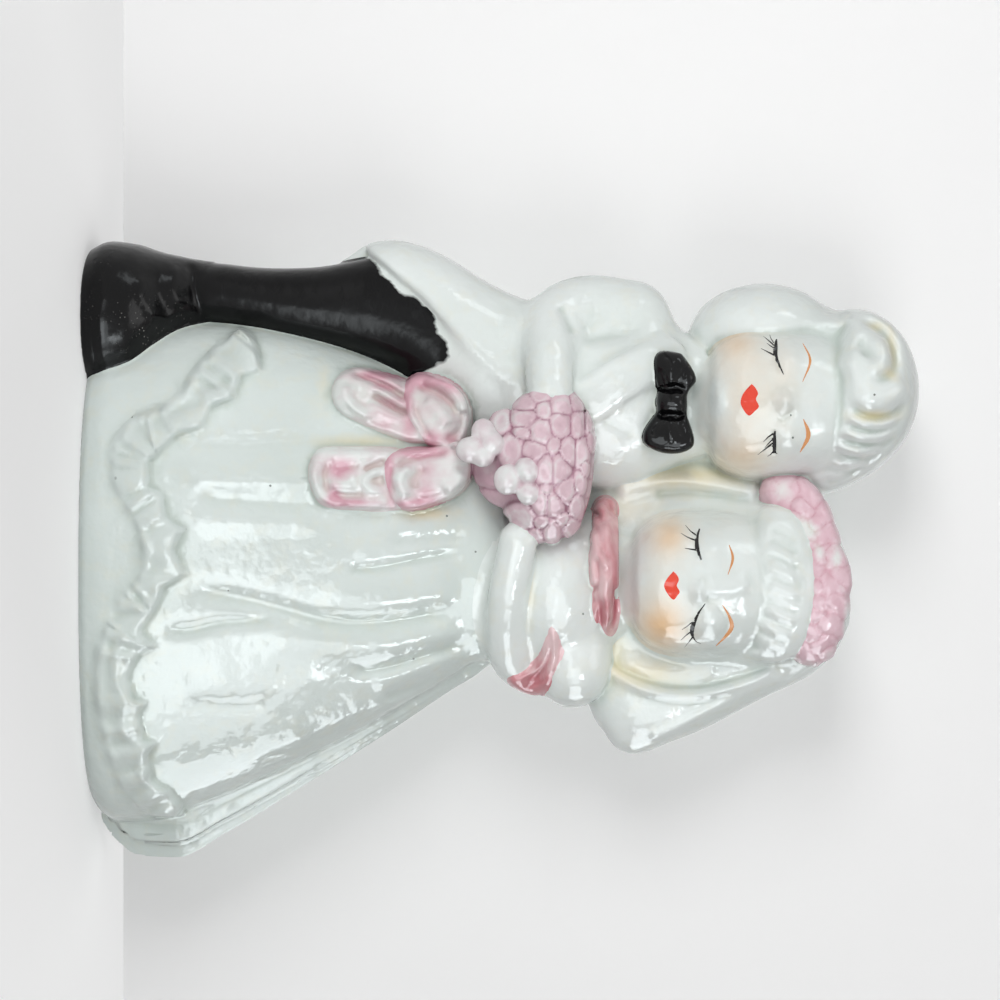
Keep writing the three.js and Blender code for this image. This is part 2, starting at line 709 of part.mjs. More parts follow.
// The elements in the order they are luted on. Each is cut by the grown forms of those before it.
const porcelain = { color: 0xe9efec, roughness: 0.12, metalness: 0 };
const blackEnamel = { color: 0x0b0c0f, roughness: 0.14, metalness: 0 };
const mauve = { color: 0xd3a3ae, roughness: 0.16, metalness: 0 };
const rosePink = { color: 0xd98a97, roughness: 0.16, metalness: 0 };
const palePink = { color: 0xeac9d0, roughness: 0.16, metalness: 0 };
const elements = [
  { name: "skirt", body: () => skirt(), tool: skirtOuter, finish: porcelain },
  { name: "train", tool: train, finish: porcelain },
  { name: "shoe", tool: shoe, finish: blackEnamel },
  { name: "trousers", tool: trousers, finish: blackEnamel },
  { name: "arm_band", tool: armBand, finish: rosePink },
  { name: "puff_sleeve", tool: puffSleeve, finish: porcelain },
  { name: "bride_arm", tool: brideArm, finish: porcelain },
  { name: "groom_sleeve", tool: groomSleeve, finish: porcelain },
  { name: "groom_head", tool: groomHead, finish: porcelain },
  { name: "bride_head", tool: brideHead, finish: porcelain },
  { name: "bow_tie", tool: bowTie, finish: blackEnamel },
  { name: "coat_lapel", tool: lapel, finish: porcelain },
  { name: "tailcoat", tool: coat, finish: porcelain },
  { name: "collar", tool: collar, finish: rosePink },
  { name: "bodice", tool: bodice, finish: porcelain },
  { name: "flower_headpiece", tool: headpiece, finish: palePink },
  { name: "bride_hair", tool: brideHair, finish: porcelain },
  { name: "groom_hair", tool: groomHair, finish: porcelain },
  { name: "veil", tool: veil, finish: porcelain },
  ...rosebudShares.map((place, i) => ({
    name: `rosebud_${i + 1}`,
    tool: (grow) => rosebud(place, grow),
    finish: porcelain,
  })),
  { name: "bouquet", tool: bouquetNest, finish: mauve },
  { name: "bow_loop_left", tool: (grow) => ribbon(leftLoopShares, grow), finish: mauve },
  { name: "bow_loop_right", tool: (grow) => ribbon(rightLoopShares, grow), finish: mauve },
  { name: "bow_tail_left", tool: (grow) => ribbon(leftTailShares, grow), finish: mauve },
  { name: "bow_tail_right", tool: (grow) => ribbon(rightTailShares, grow), finish: mauve },
  { name: "hem_ruffle", tool: ruffle, finish: porcelain },
];

function meshOf(name, body, finish) {
  const { numProp, vertProperties, triVerts } = body.getMesh();
  const geometry = new THREE.BufferGeometry();
  geometry.setAttribute("position", new THREE.BufferAttribute(vertProperties, numProp));
  geometry.setIndex(new THREE.BufferAttribute(triVerts, 1));
  geometry.computeVertexNormals();
  const mesh = new THREE.Mesh(geometry, new THREE.MeshStandardMaterial(finish));
  mesh.name = name;
  return mesh;
}

const topper = new THREE.Group();
topper.name = "wedding_cake_topper";
const tools = [];
for (const { name, body, tool, finish } of elements) {
  let form = (body ?? (() => tool(0)))();
  for (const earlier of tools) {
    form = form.subtract(earlier);
  }
  topper.add(meshOf(name, mainBody(form), finish));
  tools.push(tool(lutingGap));
}

// The origin goes to the middle of its outline, on the ground
const middle = new THREE.Box3().setFromObject(topper).getCenter(new THREE.Vector3());
for (const mesh of topper.children) {
  mesh.geometry.translate(-middle.x, -middle.y, 0);
}

export default topper;
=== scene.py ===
import math

import bpy
import numpy as np
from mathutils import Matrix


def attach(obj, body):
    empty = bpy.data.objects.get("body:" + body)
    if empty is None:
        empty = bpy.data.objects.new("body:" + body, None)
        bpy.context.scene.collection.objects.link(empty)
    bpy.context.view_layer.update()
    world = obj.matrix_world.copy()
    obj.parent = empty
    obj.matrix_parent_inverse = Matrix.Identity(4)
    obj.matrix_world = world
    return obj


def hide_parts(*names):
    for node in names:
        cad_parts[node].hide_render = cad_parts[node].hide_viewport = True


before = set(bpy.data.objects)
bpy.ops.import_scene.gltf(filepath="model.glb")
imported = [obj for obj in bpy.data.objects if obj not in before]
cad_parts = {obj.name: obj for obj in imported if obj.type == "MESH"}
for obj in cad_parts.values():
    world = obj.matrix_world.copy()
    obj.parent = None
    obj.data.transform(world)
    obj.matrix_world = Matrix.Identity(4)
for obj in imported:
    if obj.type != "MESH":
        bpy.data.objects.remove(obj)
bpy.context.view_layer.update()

import openvdb
from mathutils import Euler, Vector

MM = 0.001
TALL = 127.0  # the whole topper; places given in shares are shares of it
DRESS_PLACE = np.array([-0.46, 2.39, 0.0])  # the middle of the dress in the frame
PITCH = 0.35  # of the sculpting grid
GRID_LOW = np.array([-49.0, -25.5, -2.1])
GRID_HIGH = np.array([50.0, 20.5, 130.0])
FAR = 12.0  # the distance where nothing is near
MARGIN = 2.6  # round the box of each element
SKIN_REACH = 3.0  # each way from the skin, over which its distances are kept
JUST_INSIDE = 1.001  # cells from the far end of a grid
LINE_STEPS = 6  # between two points of a fold or a painted line
OUTLINE_STEPS = 3  # between two points of an outline
FOLD_TAPER = 0.18  # share of a fold's length over which each end thins out
TINY = 1e-6
HUGE = 1e9  # any distance is less

GRID_COUNTS = np.ceil((GRID_HIGH - GRID_LOW) / PITCH).astype(int) + 1
AXES = [GRID_LOW[i] + PITCH * np.arange(GRID_COUNTS[i], dtype=np.float32) for i in range(3)]


# Lines and maps

def smooth_line(points, steps=8):
    """A Catmull-Rom line through points with any number of coordinates"""
    points = np.asarray(points, float)
    padded = np.vstack([2 * points[0] - points[1], points, 2 * points[-1] - points[-2]])
    line = []
    for i in range(len(points) - 1):
        a, b, c, d = padded[i:i + 4]
        for t in np.arange(steps) / steps:
            line.append(0.5 * (2 * b + (c - a) * t + (2 * a - 5 * b + 4 * c - d) * t ** 2
                               + (3 * b - a - 3 * c + d) * t ** 3))
    line.append(points[-1])
    return np.array(line)


def line_distance(line, x, z):
    """Distance from each place to a line across and up, and how far along it the nearest point is"""
    best = np.full(np.broadcast(x, z).shape, HUGE)
    along = np.zeros_like(best)
    for i in range(len(line) - 1):
        (ax, az), (bx, bz) = line[i], line[i + 1]
        dx, dz = bx - ax, bz - az
        t = np.clip(((x - ax) * dx + (z - az) * dz) / max(dx * dx + dz * dz, TINY), 0, 1)
        away = np.hypot(x - ax - t * dx, z - az - t * dz)
        near = away < best
        best = np.where(near, away, best)
        along = np.where(near, (i + t) / (len(line) - 1), along)
    return best, along


def inside(outline, x, z):
    """Whether each place lies in a closed outline"""
    hit = np.zeros(np.broadcast(x, z).shape, bool)
    for (ax, az), (bx, bz) in zip(outline, np.roll(outline, -1, axis=0)):
        if az != bz:
            crosses = ((az > z) != (bz > z)) & (x < (bx - ax) * (z - az) / (bz - az) + ax)
            hit ^= crosses
    return hit


def region(outline, x, z):
    """Signed distance to a closed outline, negative inside"""
    closed = np.vstack([outline, outline[:1]])
    away, _ = line_distance(closed, x, z)
    return np.where(inside(outline, x, z), -away, away)


def ease(value):
    """A smooth step from 0 to 1"""
    value = np.clip(value, 0, 1)
    return value * value * (3 - 2 * value)


def shares(points):
    """Places in shares of the height, in millimetres"""
    return np.asarray(points, float) * TALL


def closed_line(points, steps=OUTLINE_STEPS):
    """A smooth closed outline through places in shares"""
    return smooth_line(shares([*points, points[0]]), steps)[:-1]


def opening(points, x, z):
    """Signed distance to a smoothed outline of places in shares, negative inside"""
    return region(smooth_line(shares(points), OUTLINE_STEPS), x, z)


def stroke(x, z, points, width, height, taper=FOLD_TAPER):
    """A soft ridge or groove along a line of places, thinning out at both ends"""
    away, along = line_distance(smooth_line(shares(points), LINE_STEPS), x, z)
    ends = ease(along / taper) * ease((1 - along) / taper)
    return height * np.exp(-(away / width) ** 2) * ends


def dome(x, z, place, radii, height):
    """A soft bump at a place in shares"""
    px, pz = place[0] * TALL, place[1] * TALL
    rx, rz = radii[0] * TALL, radii[1] * TALL
    return height * np.exp(-((x - px) / rx) ** 2 - ((z - pz) / rz) ** 2)


# Shapes: each is its lowest corner, its highest corner and a distance

BODY_CORNER = 2.3  # exponents of the superellipses, where 2 is round
HEAD_CORNER = 2.15
TRAIN_CORNER = 2.4
SKIRT_CORNER = 2.5
VEIL_CORNER = 2.6


def ellipsoid(centre, radii, tilt=0.0):
    """An ellipsoid, tilted sideways by a share of a turn"""
    centre, radii = np.asarray(centre, float), np.asarray(radii, float)
    c, s = math.cos(tilt * 2 * math.pi), math.sin(tilt * 2 * math.pi)

    def distance(x, y, z):
        dx, dy, dz = x - centre[0], y - centre[1], z - centre[2]
        u, w = c * dx - s * dz, s * dx + c * dz
        k0 = np.sqrt((u / radii[0]) ** 2 + (dy / radii[1]) ** 2 + (w / radii[2]) ** 2)
        k1 = np.sqrt((u / radii[0] ** 2) ** 2 + (dy / radii[1] ** 2) ** 2 + (w / radii[2] ** 2) ** 2)
        return k0 * (k0 - 1) / np.maximum(k1, TINY)
    reach = radii if tilt == 0 else np.array([max(radii), radii[1], max(radii)])
    return centre - reach, centre + reach, distance


LEAST_SLOPE = 0.02


def even(f):
    """A distance from any smooth function that is zero on the surface"""
    gx, gy, gz = np.gradient(f, PITCH)
    return f / np.maximum(np.sqrt(gx * gx + gy * gy + gz * gz), LEAST_SLOPE)


def row_values(rows, z):
    """Smooth monotone interpolation of table rows, whose first value is the height"""
    rows = np.asarray(rows, float)
    zs, values = rows[:, 0], rows[:, 1:]
    steps = np.diff(zs)[:, None]
    slopes = np.diff(values, axis=0) / steps
    tangent = np.zeros_like(values)
    tangent[0], tangent[-1] = slopes[0], slopes[-1]
    a, b = slopes[:-1], slopes[1:]
    product = a * b
    tangent[1:-1] = np.where(product > 0, 2 * product / np.where(product > 0, a + b, 1), 0)
    i = np.clip(np.searchsorted(zs, z) - 1, 0, len(steps) - 1)
    h = steps[i]
    t = np.clip((np.asarray(z)[:, None] - zs[i][:, None]) / h, 0, 1)
    low, high = values[i], values[i + 1]
    return ((1 + 2 * t) * (1 - t) ** 2 * low + t * (1 - t) ** 2 * h * tangent[i]
            + t * t * (3 - 2 * t) * high + t * t * (t - 1) * h * tangent[i + 1])


def stack(rows, corner=BODY_CORNER, form=None):
    """Stacked superellipses. A row holds z, x, y, half width, front depth and back depth."""
    rows = np.asarray(rows, float)
    low = np.array([(rows[:, 1] - rows[:, 3]).min(), (rows[:, 2] - rows[:, 4]).min(), rows[0, 0]])
    high = np.array([(rows[:, 1] + rows[:, 3]).max(), (rows[:, 2] + rows[:, 5]).max(), rows[-1, 0]])

    def distance(x, y, z):
        cx, cy, half, front, back = row_values(rows, z[0, 0]).astype(np.float32).T[:, None, None, :]
        u = np.abs((x - cx) / half)
        v = (y - cy) / np.where(y < cy, front, back)
        r = (u ** corner + np.abs(v) ** corner) ** (1 / corner)
        if form:
            rise = (z - rows[0, 0]) / (rows[-1, 0] - rows[0, 0])
            r = r / form(np.arctan2(v, (x - cx) / half), rise)
        side = even((r - 1) * np.minimum(half, front))
        return np.maximum(side, np.maximum(rows[0, 0] - z, z - rows[-1, 0]))
    return low, high, distance


def limb(points, flat=1.0, steps=4):
    """A round limb along a smooth line of x, y, z and radius, flattened from front to back"""
    line = smooth_line(points, steps)
    reach = line[:, 3].max()
    low, high = line[:, :3].min(0) - reach, line[:, :3].max(0) + reach

    def distance(x, y, z):
        best = np.full(np.broadcast(x, y, z).shape, HUGE, np.float32)
        for (ax, ay, az, ar), (bx, by, bz, br) in zip(line[:-1], line[1:]):
            dx, dy, dz = bx - ax, (by - ay) / flat, bz - az
            long = max(dx * dx + dy * dy + dz * dz, TINY)
            px, py, pz = x - ax, (y - ay) / flat, z - az
            t = np.clip((px * dx + py * dy + pz * dz) / long, 0, 1)
            away = np.sqrt((px - t * dx) ** 2 + (py - t * dy) ** 2 + (pz - t * dz) ** 2)
            best = np.minimum(best, away - ar - t * (br - ar))
        return best if flat == 1.0 else even(best)
    return low, high, distance


def ring(centre, reach, tube, depth, tall):
    """A ring round the upright axis: its reach and tube radius, and shares for its depth and height"""
    def distance(x, y, z):
        dx, dy, dz = x - centre[0], y - centre[1], z - centre[2]
        return even(np.hypot(np.hypot(dx, dy / depth) - reach, dz / tall) - tube)
    spread = np.array([reach + tube, (reach + tube) * depth, tube * tall + tube])
    return centre - spread, centre + spread, distance


def slab(outline, middle, half_depth, rounding):
    """A flat shape with rounded edges: its outline across and up, its middle and half depth"""
    outline = np.asarray(outline)
    low = np.array([outline[:, 0].min(), middle - half_depth, outline[:, 1].min()])
    high = np.array([outline[:, 0].max(), middle + half_depth, outline[:, 1].max()])

    def distance(x, y, z):
        flat = region(outline, x[:, :, 0], z[0])[:, None, :] + rounding
        deep = np.abs(y - middle) - half_depth + rounding
        corner = np.hypot(np.maximum(flat, 0), np.maximum(deep, 0))
        return np.minimum(np.maximum(flat, deep), 0) + corner - rounding
    return low, high, distance


# The grid and the clay on it

def window(low, high, margin=MARGIN):
    """The part of the grid that holds a box, and its coordinates"""
    first = np.clip(np.floor((np.asarray(low) - margin - GRID_LOW) / PITCH), 0, GRID_COUNTS - 2)
    last = np.clip(np.ceil((np.asarray(high) + margin - GRID_LOW) / PITCH) + 1, 2, GRID_COUNTS)
    cut = tuple(slice(int(a), int(b)) for a, b in zip(first, last))
    x, y, z = (AXES[i][cut[i]] for i in range(3))
    return cut, (x[:, None, None], y[None, :, None], z[None, None, :])


def soft_min(a, b, blend):
    """The lesser of two distances, rounded over the blend where they are alike"""
    h = np.maximum(blend - np.abs(a - b), 0) / blend
    return np.minimum(a, b) - h * h * blend / 4


CLAY = {}  # each element's part of the grid and its distance there


def shape_clay(name, shapes, blend=0.8, relief=None, trim=None):
    """Joins shapes to one element. relief(x, y, z) raises its surface in millimetres, trim cuts it."""
    lows, highs = zip(*((low, high) for low, high, _ in shapes))
    cut, (x, y, z) = window(np.min(lows, axis=0), np.max(highs, axis=0))
    body = np.full(tuple(s.stop - s.start for s in cut), FAR, np.float32)
    for low, high, distance in shapes:
        own, places = window(low, high)
        part = tuple(slice(o.start - c.start, o.stop - c.start) for o, c in zip(own, cut))
        body[part] = soft_min(body[part], distance(*places).astype(np.float32), blend)
    if relief:
        body -= relief(x, y, z).astype(np.float32)
    if trim:
        body = trim(body, x, y, z).astype(np.float32)
    CLAY[name] = (cut, body)


def front_weight(y, near, far):
    """One in front of near, nothing behind far"""
    return ease((far - y) / (far - near))


def front_relief(lines, near, far, domes=(), taper=FOLD_TAPER):
    """Ridges, grooves and bumps on the front: full in front of near, gone behind far"""
    def relief(x, y, z):
        u, w = x[:, :, 0], z[0]
        lift = sum(stroke(u, w, *line, taper=taper) for line in lines)
        lift = lift + sum(dome(u, w, *spot) for spot in domes)
        return lift[:, None, :] * front_weight(y, near, far)
    return relief


def fan(middle, spread, count, profile, width, height):
    """Lines that spread out from a middle. Each row of the profile is how far out and how high."""
    return [([(middle + side * out, z) for out, z in profile], width, height)
            for side in np.linspace(-spread, spread, count)]


def reliefs(*parts):
    """The sum of some reliefs"""
    return lambda x, y, z: sum(part(x, y, z) for part in parts)


LAID_BLEND = 1.5  # between the carriers of a layer
LAID_EDGE_SLOPE = 1.5  # how steeply a layer falls off outside its outline
LAID_DROP = 4.0  # how far behind the surface a layer ends at the back


def laid_on(name, carriers, outline, thickness, near, far):
    """A layer on the front of other elements, inside an outline. thickness(x, z, away) is in millimetres."""
    low = np.array([outline[:, 0].min(), GRID_LOW[1], outline[:, 1].min()])
    high = np.array([outline[:, 0].max(), far, outline[:, 1].max()])
    cut, (x, y, z) = window(low, high)
    base = np.full(tuple(s.stop - s.start for s in cut), FAR, np.float32)
    for carrier in carriers:
        other, body = CLAY[carrier]
        first = [max(a.start, b.start) for a, b in zip(cut, other)]
        last = [min(a.stop, b.stop) for a, b in zip(cut, other)]
        mine = tuple(slice(a - c.start, b - c.start) for a, b, c in zip(first, last, cut))
        theirs = tuple(slice(a - c.start, b - c.start) for a, b, c in zip(first, last, other))
        base[mine] = soft_min(base[mine], body[theirs], LAID_BLEND)
    away = region(outline, x[:, :, 0], z[0])
    thick = np.where(away > 0, -LAID_EDGE_SLOPE * away, thickness(x[:, :, 0], z[0], away))
    front = front_weight(y, near, far)
    lift = thick[:, None, :] * front - LAID_DROP * (1 - front)
    CLAY[name] = (cut, (base - lift).astype(np.float32))


# Skirt and train

SKIRT_TALL = 63.5
SKIRT_HALF = 41.0
SKIRT_DEEP = 20.0
CAST_WALL = 3.6
CAVITY_TOP_SHARE = 0.8
SKIRT_ROW_SHARES = [
    # z, left, right, front, back
    (0, -0.74, 0.99, 0.95, 0.5), (0.02, -0.78, 1.03, 1.01, 0.56), (0.06, -0.82, 1.06, 1.05, 0.6),
    (0.15, -0.84, 1.05, 1.04, 0.62), (0.28, -0.845, 0.98, 0.99, 0.6), (0.4, -0.83, 0.9, 0.93, 0.57),
    (0.54, -0.78, 0.795, 0.85, 0.53), (0.67, -0.71, 0.69, 0.77, 0.49), (0.79, -0.62, 0.58, 0.67, 0.44),
    (0.9, -0.51, 0.475, 0.55, 0.38), (1, -0.36, 0.4, 0.44, 0.33)]
TRAIN_ROW_SHARES = [
    (0, -0.7, 1.01, 0.1, 0.84), (0.026, -0.74, 1.07, 0.16, 0.92), (0.09, -0.77, 1.145, 0.24, 0.95),
    (0.187, -0.78, 1.16, 0.26, 0.94), (0.313, -0.77, 1.07, 0.26, 0.88), (0.506, -0.7, 0.9, 0.25, 0.8),
    (0.694, -0.6, 0.725, 0.22, 0.7), (0.87, -0.46, 0.55, 0.18, 0.56), (0.95, -0.37, 0.47, 0.14, 0.48),
    (1, -0.26, 0.36, 0.1, 0.38), (1.03, -0.1, 0.2, 0.05, 0.2)]
TRAIN_PLEATS = 13
TRAIN_FINE_PLEATS = 31
TRAIN_PLEAT_SHARE = 0.035
PLEAT_WAVE_SHARES = (0.75, 0.75)
TRAIN_BLEND = 2.5
TRAIN_FILL = ellipsoid(shares((-0.095, 0.035, 0.4)), shares((0.055, 0.04, 0.17)))
TRAIN_BACK_FOLDS = fan(0.03, 0.27, 8, [(0.4, 0.45), (0.62, 0.3), (0.85, 0.16), (1, 0.03)], 1.7, -0.8)


def dress_rows(table, inset=0.0):
    """Rows of the dress from a table of shares, drawn in by an inset"""
    return [(z * SKIRT_TALL, (left + right) / 2 * SKIRT_HALF, 0.0,
             (right - left) / 2 * SKIRT_HALF - inset,
             front * SKIRT_DEEP - inset, back * SKIRT_DEEP - inset)
            for z, left, right, front, back in table]


SKIRT_FOLDS = [
    # a line of x and z in shares, then width and height in millimetres, as in every table of folds
    ([(-0.13, 0.42), (-0.125, 0.3), (-0.118, 0.2), (-0.122, 0.11)], 1.6, -0.5),
    ([(-0.077, 0.3), (-0.076, 0.2), (-0.08, 0.12)], 1.4, 0.5),
    ([(-0.044, 0.3), (-0.052, 0.21), (-0.056, 0.14)], 1.6, -0.6),
    ([(-0.028, 0.3), (-0.03, 0.2), (-0.034, 0.12)], 1.6, 0.35),
    ([(0.008, 0.46), (0.018, 0.4), (0.028, 0.35), (0.029, 0.31)], 1.0, -0.85),
    ([(-0.01, 0.46), (-0.006, 0.41), (-0.004, 0.36)], 1.3, -0.45),
    ([(0.05, 0.45), (0.058, 0.4), (0.062, 0.34), (0.055, 0.28)], 2.6, 0.45),
    ([(0.072, 0.46), (0.082, 0.42), (0.09, 0.38), (0.094, 0.33), (0.089, 0.285), (0.077, 0.245),
      (0.065, 0.2), (0.057, 0.16), (0.055, 0.12)], 1.5, -1.25),
    ([(0.1, 0.45), (0.112, 0.4), (0.118, 0.34), (0.114, 0.27), (0.11, 0.2)], 2.4, 0.7),
    ([(0.085, 0.24), (0.089, 0.2), (0.092, 0.165), (0.099, 0.135), (0.102, 0.1)], 1.0, -0.95),
    ([(0.114, 0.465), (0.131, 0.41), (0.146, 0.36), (0.151, 0.31)], 1.1, -0.85),
    ([(0.143, 0.46), (0.17, 0.4), (0.187, 0.35)], 1.0, -0.8),
    ([(0.135, 0.43), (0.155, 0.38), (0.166, 0.34)], 1.3, 0.35),
    ([(0.186, 0.225), (0.19, 0.175), (0.184, 0.12)], 1.0, -0.35),
    ([(0.155, 0.3), (0.16, 0.2), (0.155, 0.12)], 3.0, 0.35),
    ([(0.235, 0.28), (0.25, 0.2), (0.26, 0.12)], 3.0, 0.3),
    ([(0.2, 0.36), (0.235, 0.28), (0.27, 0.19)], 1.4, -0.4),
    ([(-0.185, 0.34), (-0.2, 0.28), (-0.205, 0.22)], 2.4, 0.3),
]


shape_clay("skirt", [stack(dress_rows(SKIRT_ROW_SHARES), SKIRT_CORNER)],
           relief=front_relief(SKIRT_FOLDS, -9.0, -3.0))


def train_pleats(turn, rise):
    """The share by which the train widens at each turn, less towards the top"""
    wide, fine = PLEAT_WAVE_SHARES
    waves = wide * np.cos(turn * TRAIN_PLEATS) + fine * np.cos(turn * TRAIN_FINE_PLEATS)
    return 1 + TRAIN_PLEAT_SHARE * (1 - rise) * waves


shape_clay("train", [stack(dress_rows(TRAIN_ROW_SHARES), TRAIN_CORNER, train_pleats), TRAIN_FILL],
           TRAIN_BLEND, relief=front_relief(TRAIN_BACK_FOLDS, 9.0, 4.0))

# Hem ruffle: a scalloped band laid on the front of the skirt
RUFFLE_TOP = [
    (-0.262, 0.19), (-0.254, 0.2), (-0.234, 0.21), (-0.206, 0.215), (-0.2, 0.192), (-0.1735, 0.185),
    (-0.163, 0.159), (-0.138, 0.148), (-0.128, 0.118), (-0.112, 0.103), (-0.097, 0.088), (-0.072, 0.09),
    (-0.064, 0.104), (-0.036, 0.11), (-0.021, 0.131), (0.005, 0.12), (0.035, 0.133), (0.05, 0.108),
    (0.07, 0.1), (0.1, 0.082), (0.119, 0.097), (0.131, 0.076), (0.156, 0.065), (0.177, 0.07),
    (0.184, 0.084), (0.202, 0.076), (0.227, 0.08), (0.232, 0.094), (0.248, 0.085), (0.278, 0.085),
    (0.293, 0.104), (0.315, 0.115), (0.335, 0.11)]
RUFFLE_FOOT = [
    (-0.268, 0.175), (-0.256, 0.165), (-0.234, 0.148), (-0.208, 0.128), (-0.178, 0.112), (-0.163, 0.088),
    (-0.158, 0.068), (-0.138, 0.048), (-0.117, 0.036), (-0.087, 0.031), (-0.051, 0.044), (-0.026, 0.062),
    (0.005, 0.072), (0.035, 0.067), (0.05, 0.048), (0.076, 0.038), (0.086, 0.029), (0.126, 0.018),
    (0.177, 0.0155), (0.227, 0.022), (0.278, 0.032), (0.298, 0.041), (0.335, 0.062)]
RUFFLE_THICK = 1.5
RUFFLE_FLUTES = 26
RUFFLE_FLUTE = 0.34
RUFFLE_DRIFT = 1.7
RUFFLE_DRIFT_RATE = 0.31
RUFFLE_EDGE = 1.0  # over which it rises from its edge, and how much further that reaches at the foot
RUFFLE_EDGE_AT_FOOT = 1.4
RUFFLE_FOOT_THIN = 0.38
RUFFLE_SWELL = 1.3
RUFFLE_LINES = [
    ([(-0.262, 0.178), (-0.234, 0.157), (-0.208, 0.137), (-0.176, 0.12), (-0.158, 0.094), (-0.15, 0.07),
      (-0.132, 0.053), (-0.112, 0.043), (-0.087, 0.04)], 0.8, 0.5),
    ([(0.1, 0.066), (0.115, 0.053), (0.14, 0.048), (0.165, 0.05), (0.176, 0.064)], 0.7, 0.4),
    ([(0.176, 0.066), (0.19, 0.056), (0.215, 0.054), (0.23, 0.066), (0.234, 0.084)], 0.7, 0.4),
    ([(0.236, 0.088), (0.25, 0.075), (0.275, 0.074), (0.29, 0.09)], 0.7, 0.4),
    ([(0.09, 0.04), (0.13, 0.029), (0.18, 0.026), (0.23, 0.032), (0.28, 0.043)], 0.8, 0.35),
    ([(-0.03, 0.075), (0.005, 0.085), (0.035, 0.08)], 0.7, 0.35),
    ([(-0.2, 0.18), (-0.19, 0.155), (-0.182, 0.13)], 0.9, -0.5),
    ([(-0.17, 0.15), (-0.165, 0.125), (-0.158, 0.1)], 0.9, -0.45),
    ([(0.055, 0.1), (0.062, 0.075), (0.066, 0.05)], 0.8, -0.5),
    ([(0.078, 0.09), (0.08, 0.065), (0.084, 0.04)], 0.7, -0.5),
]


def ruffle_thickness(x, z, away):
    """Thickest at the top edge, with flutes along the foot that drift in spacing"""
    top, _ = line_distance(shares(RUFFLE_TOP), x, z)
    foot, along = line_distance(shares(RUFFLE_FOOT), x, z)
    rise = foot / np.maximum(foot + top, TINY)
    rim = ease(-away / (RUFFLE_EDGE + RUFFLE_EDGE_AT_FOOT * ease(1 - rise * 2)))
    swell = RUFFLE_FOOT_THIN + (1 - RUFFLE_FOOT_THIN) * ease(rise * RUFFLE_SWELL)
    thick = RUFFLE_THICK * swell * rim
    turn = along * 2 * math.pi * RUFFLE_FLUTES
    thick += RUFFLE_FLUTE * np.sin(turn + RUFFLE_DRIFT * np.sin(turn * RUFFLE_DRIFT_RATE)) * rim
    return thick + sum(stroke(x, z, *line) for line in RUFFLE_LINES)


laid_on("hem_ruffle", ["skirt"], shares(RUFFLE_TOP + RUFFLE_FOOT[::-1]), ruffle_thickness, -4.0, 1.0)

# Groom


def tall_rows(table):
    """Rows whose values are all shares of the whole height"""
    return [tuple(value * TALL for value in row) for row in table]


TROUSER_ROWS = [
    (0.1, -0.305, 0.005, 0.042, 0.063, 0.062), (0.14, -0.3065, 0, 0.0395, 0.0635, 0.06),
    (0.19, -0.3, 0, 0.041, 0.064, 0.062), (0.23, -0.2945, 0, 0.045, 0.064, 0.064),
    (0.27, -0.291, 0, 0.05, 0.064, 0.066), (0.33, -0.287, 0, 0.064, 0.0645, 0.07),
    (0.37, -0.278, 0, 0.073, 0.065, 0.07), (0.42, -0.252, 0, 0.094, 0.066, 0.072),
    (0.47, -0.222, 0, 0.098, 0.0755, 0.072), (0.52, -0.197, 0, 0.099, 0.0735, 0.07),
    (0.56, -0.186, 0, 0.098, 0.076, 0.07)]
TROUSER_FOLDS = [
    ([(-0.35, 0.12), (-0.31, 0.124), (-0.265, 0.136)], 0.8, -0.4),
    ([(-0.21, 0.42), (-0.232, 0.33), (-0.248, 0.25), (-0.262, 0.17)], 0.8, -0.4),
]
SHOE_ROWS = [
    (0, -0.274, -0.035, 0.086, 0.105, 0.105), (0.02, -0.279, -0.035, 0.09, 0.112, 0.112),
    (0.05, -0.282, -0.03, 0.085, 0.108, 0.11), (0.08, -0.29, -0.022, 0.068, 0.09, 0.095),
    (0.11, -0.301, -0.012, 0.051, 0.068, 0.076), (0.14, -0.306, 0, 0.041, 0.052, 0.062)]
SHOE_FOLDS = [
    ([(-0.345, 0.118), (-0.31, 0.124), (-0.275, 0.134)], 0.7, -0.45),
    ([(-0.34, 0.105), (-0.31, 0.104), (-0.285, 0.112)], 0.8, 0.35),
    ([(-0.33, 0.085), (-0.3, 0.088), (-0.275, 0.1)], 0.7, -0.3),
    ([(-0.325, 0.068), (-0.295, 0.072), (-0.265, 0.088)], 0.8, 0.3),
    ([(-0.32, 0.022), (-0.27, 0.016), (-0.205, 0.018)], 0.7, -0.3),
]


shape_clay("shoe", [stack(tall_rows(SHOE_ROWS))], relief=front_relief(SHOE_FOLDS, -7.0, -1.0))
shape_clay("trousers", [stack(tall_rows(TROUSER_ROWS))], relief=front_relief(TROUSER_FOLDS, -5.0, 0.0))

COAT_ROWS = [
    (0.3, -0.3, 0.01, 0.05, 0.07, 0.075), (0.33, -0.292, 0.01, 0.078, 0.08, 0.082),
    (0.37, -0.28, 0.008, 0.094, 0.086, 0.085), (0.43, -0.25, 0.005, 0.102, 0.085, 0.083),
    (0.48, -0.218, 0.003, 0.101, 0.08, 0.08), (0.52, -0.197, 0, 0.104, 0.078, 0.078),
    (0.57, -0.184, 0, 0.104, 0.084, 0.082), (0.62, -0.172, 0, 0.106, 0.088, 0.084),
    (0.66, -0.177, 0, 0.108, 0.084, 0.08), (0.69, -0.183, 0, 0.1, 0.074, 0.074),
    (0.715, -0.18, 0, 0.084, 0.066, 0.066), (0.745, -0.178, 0, 0.07, 0.058, 0.058)]
COAT_EDGE = [(-0.42, 0.27), (-0.355, 0.335), (-0.3, 0.4), (-0.25, 0.445), (-0.19, 0.505), (-0.04, 0.52),
             (-0.04, 0.0), (-0.42, 0.0)]
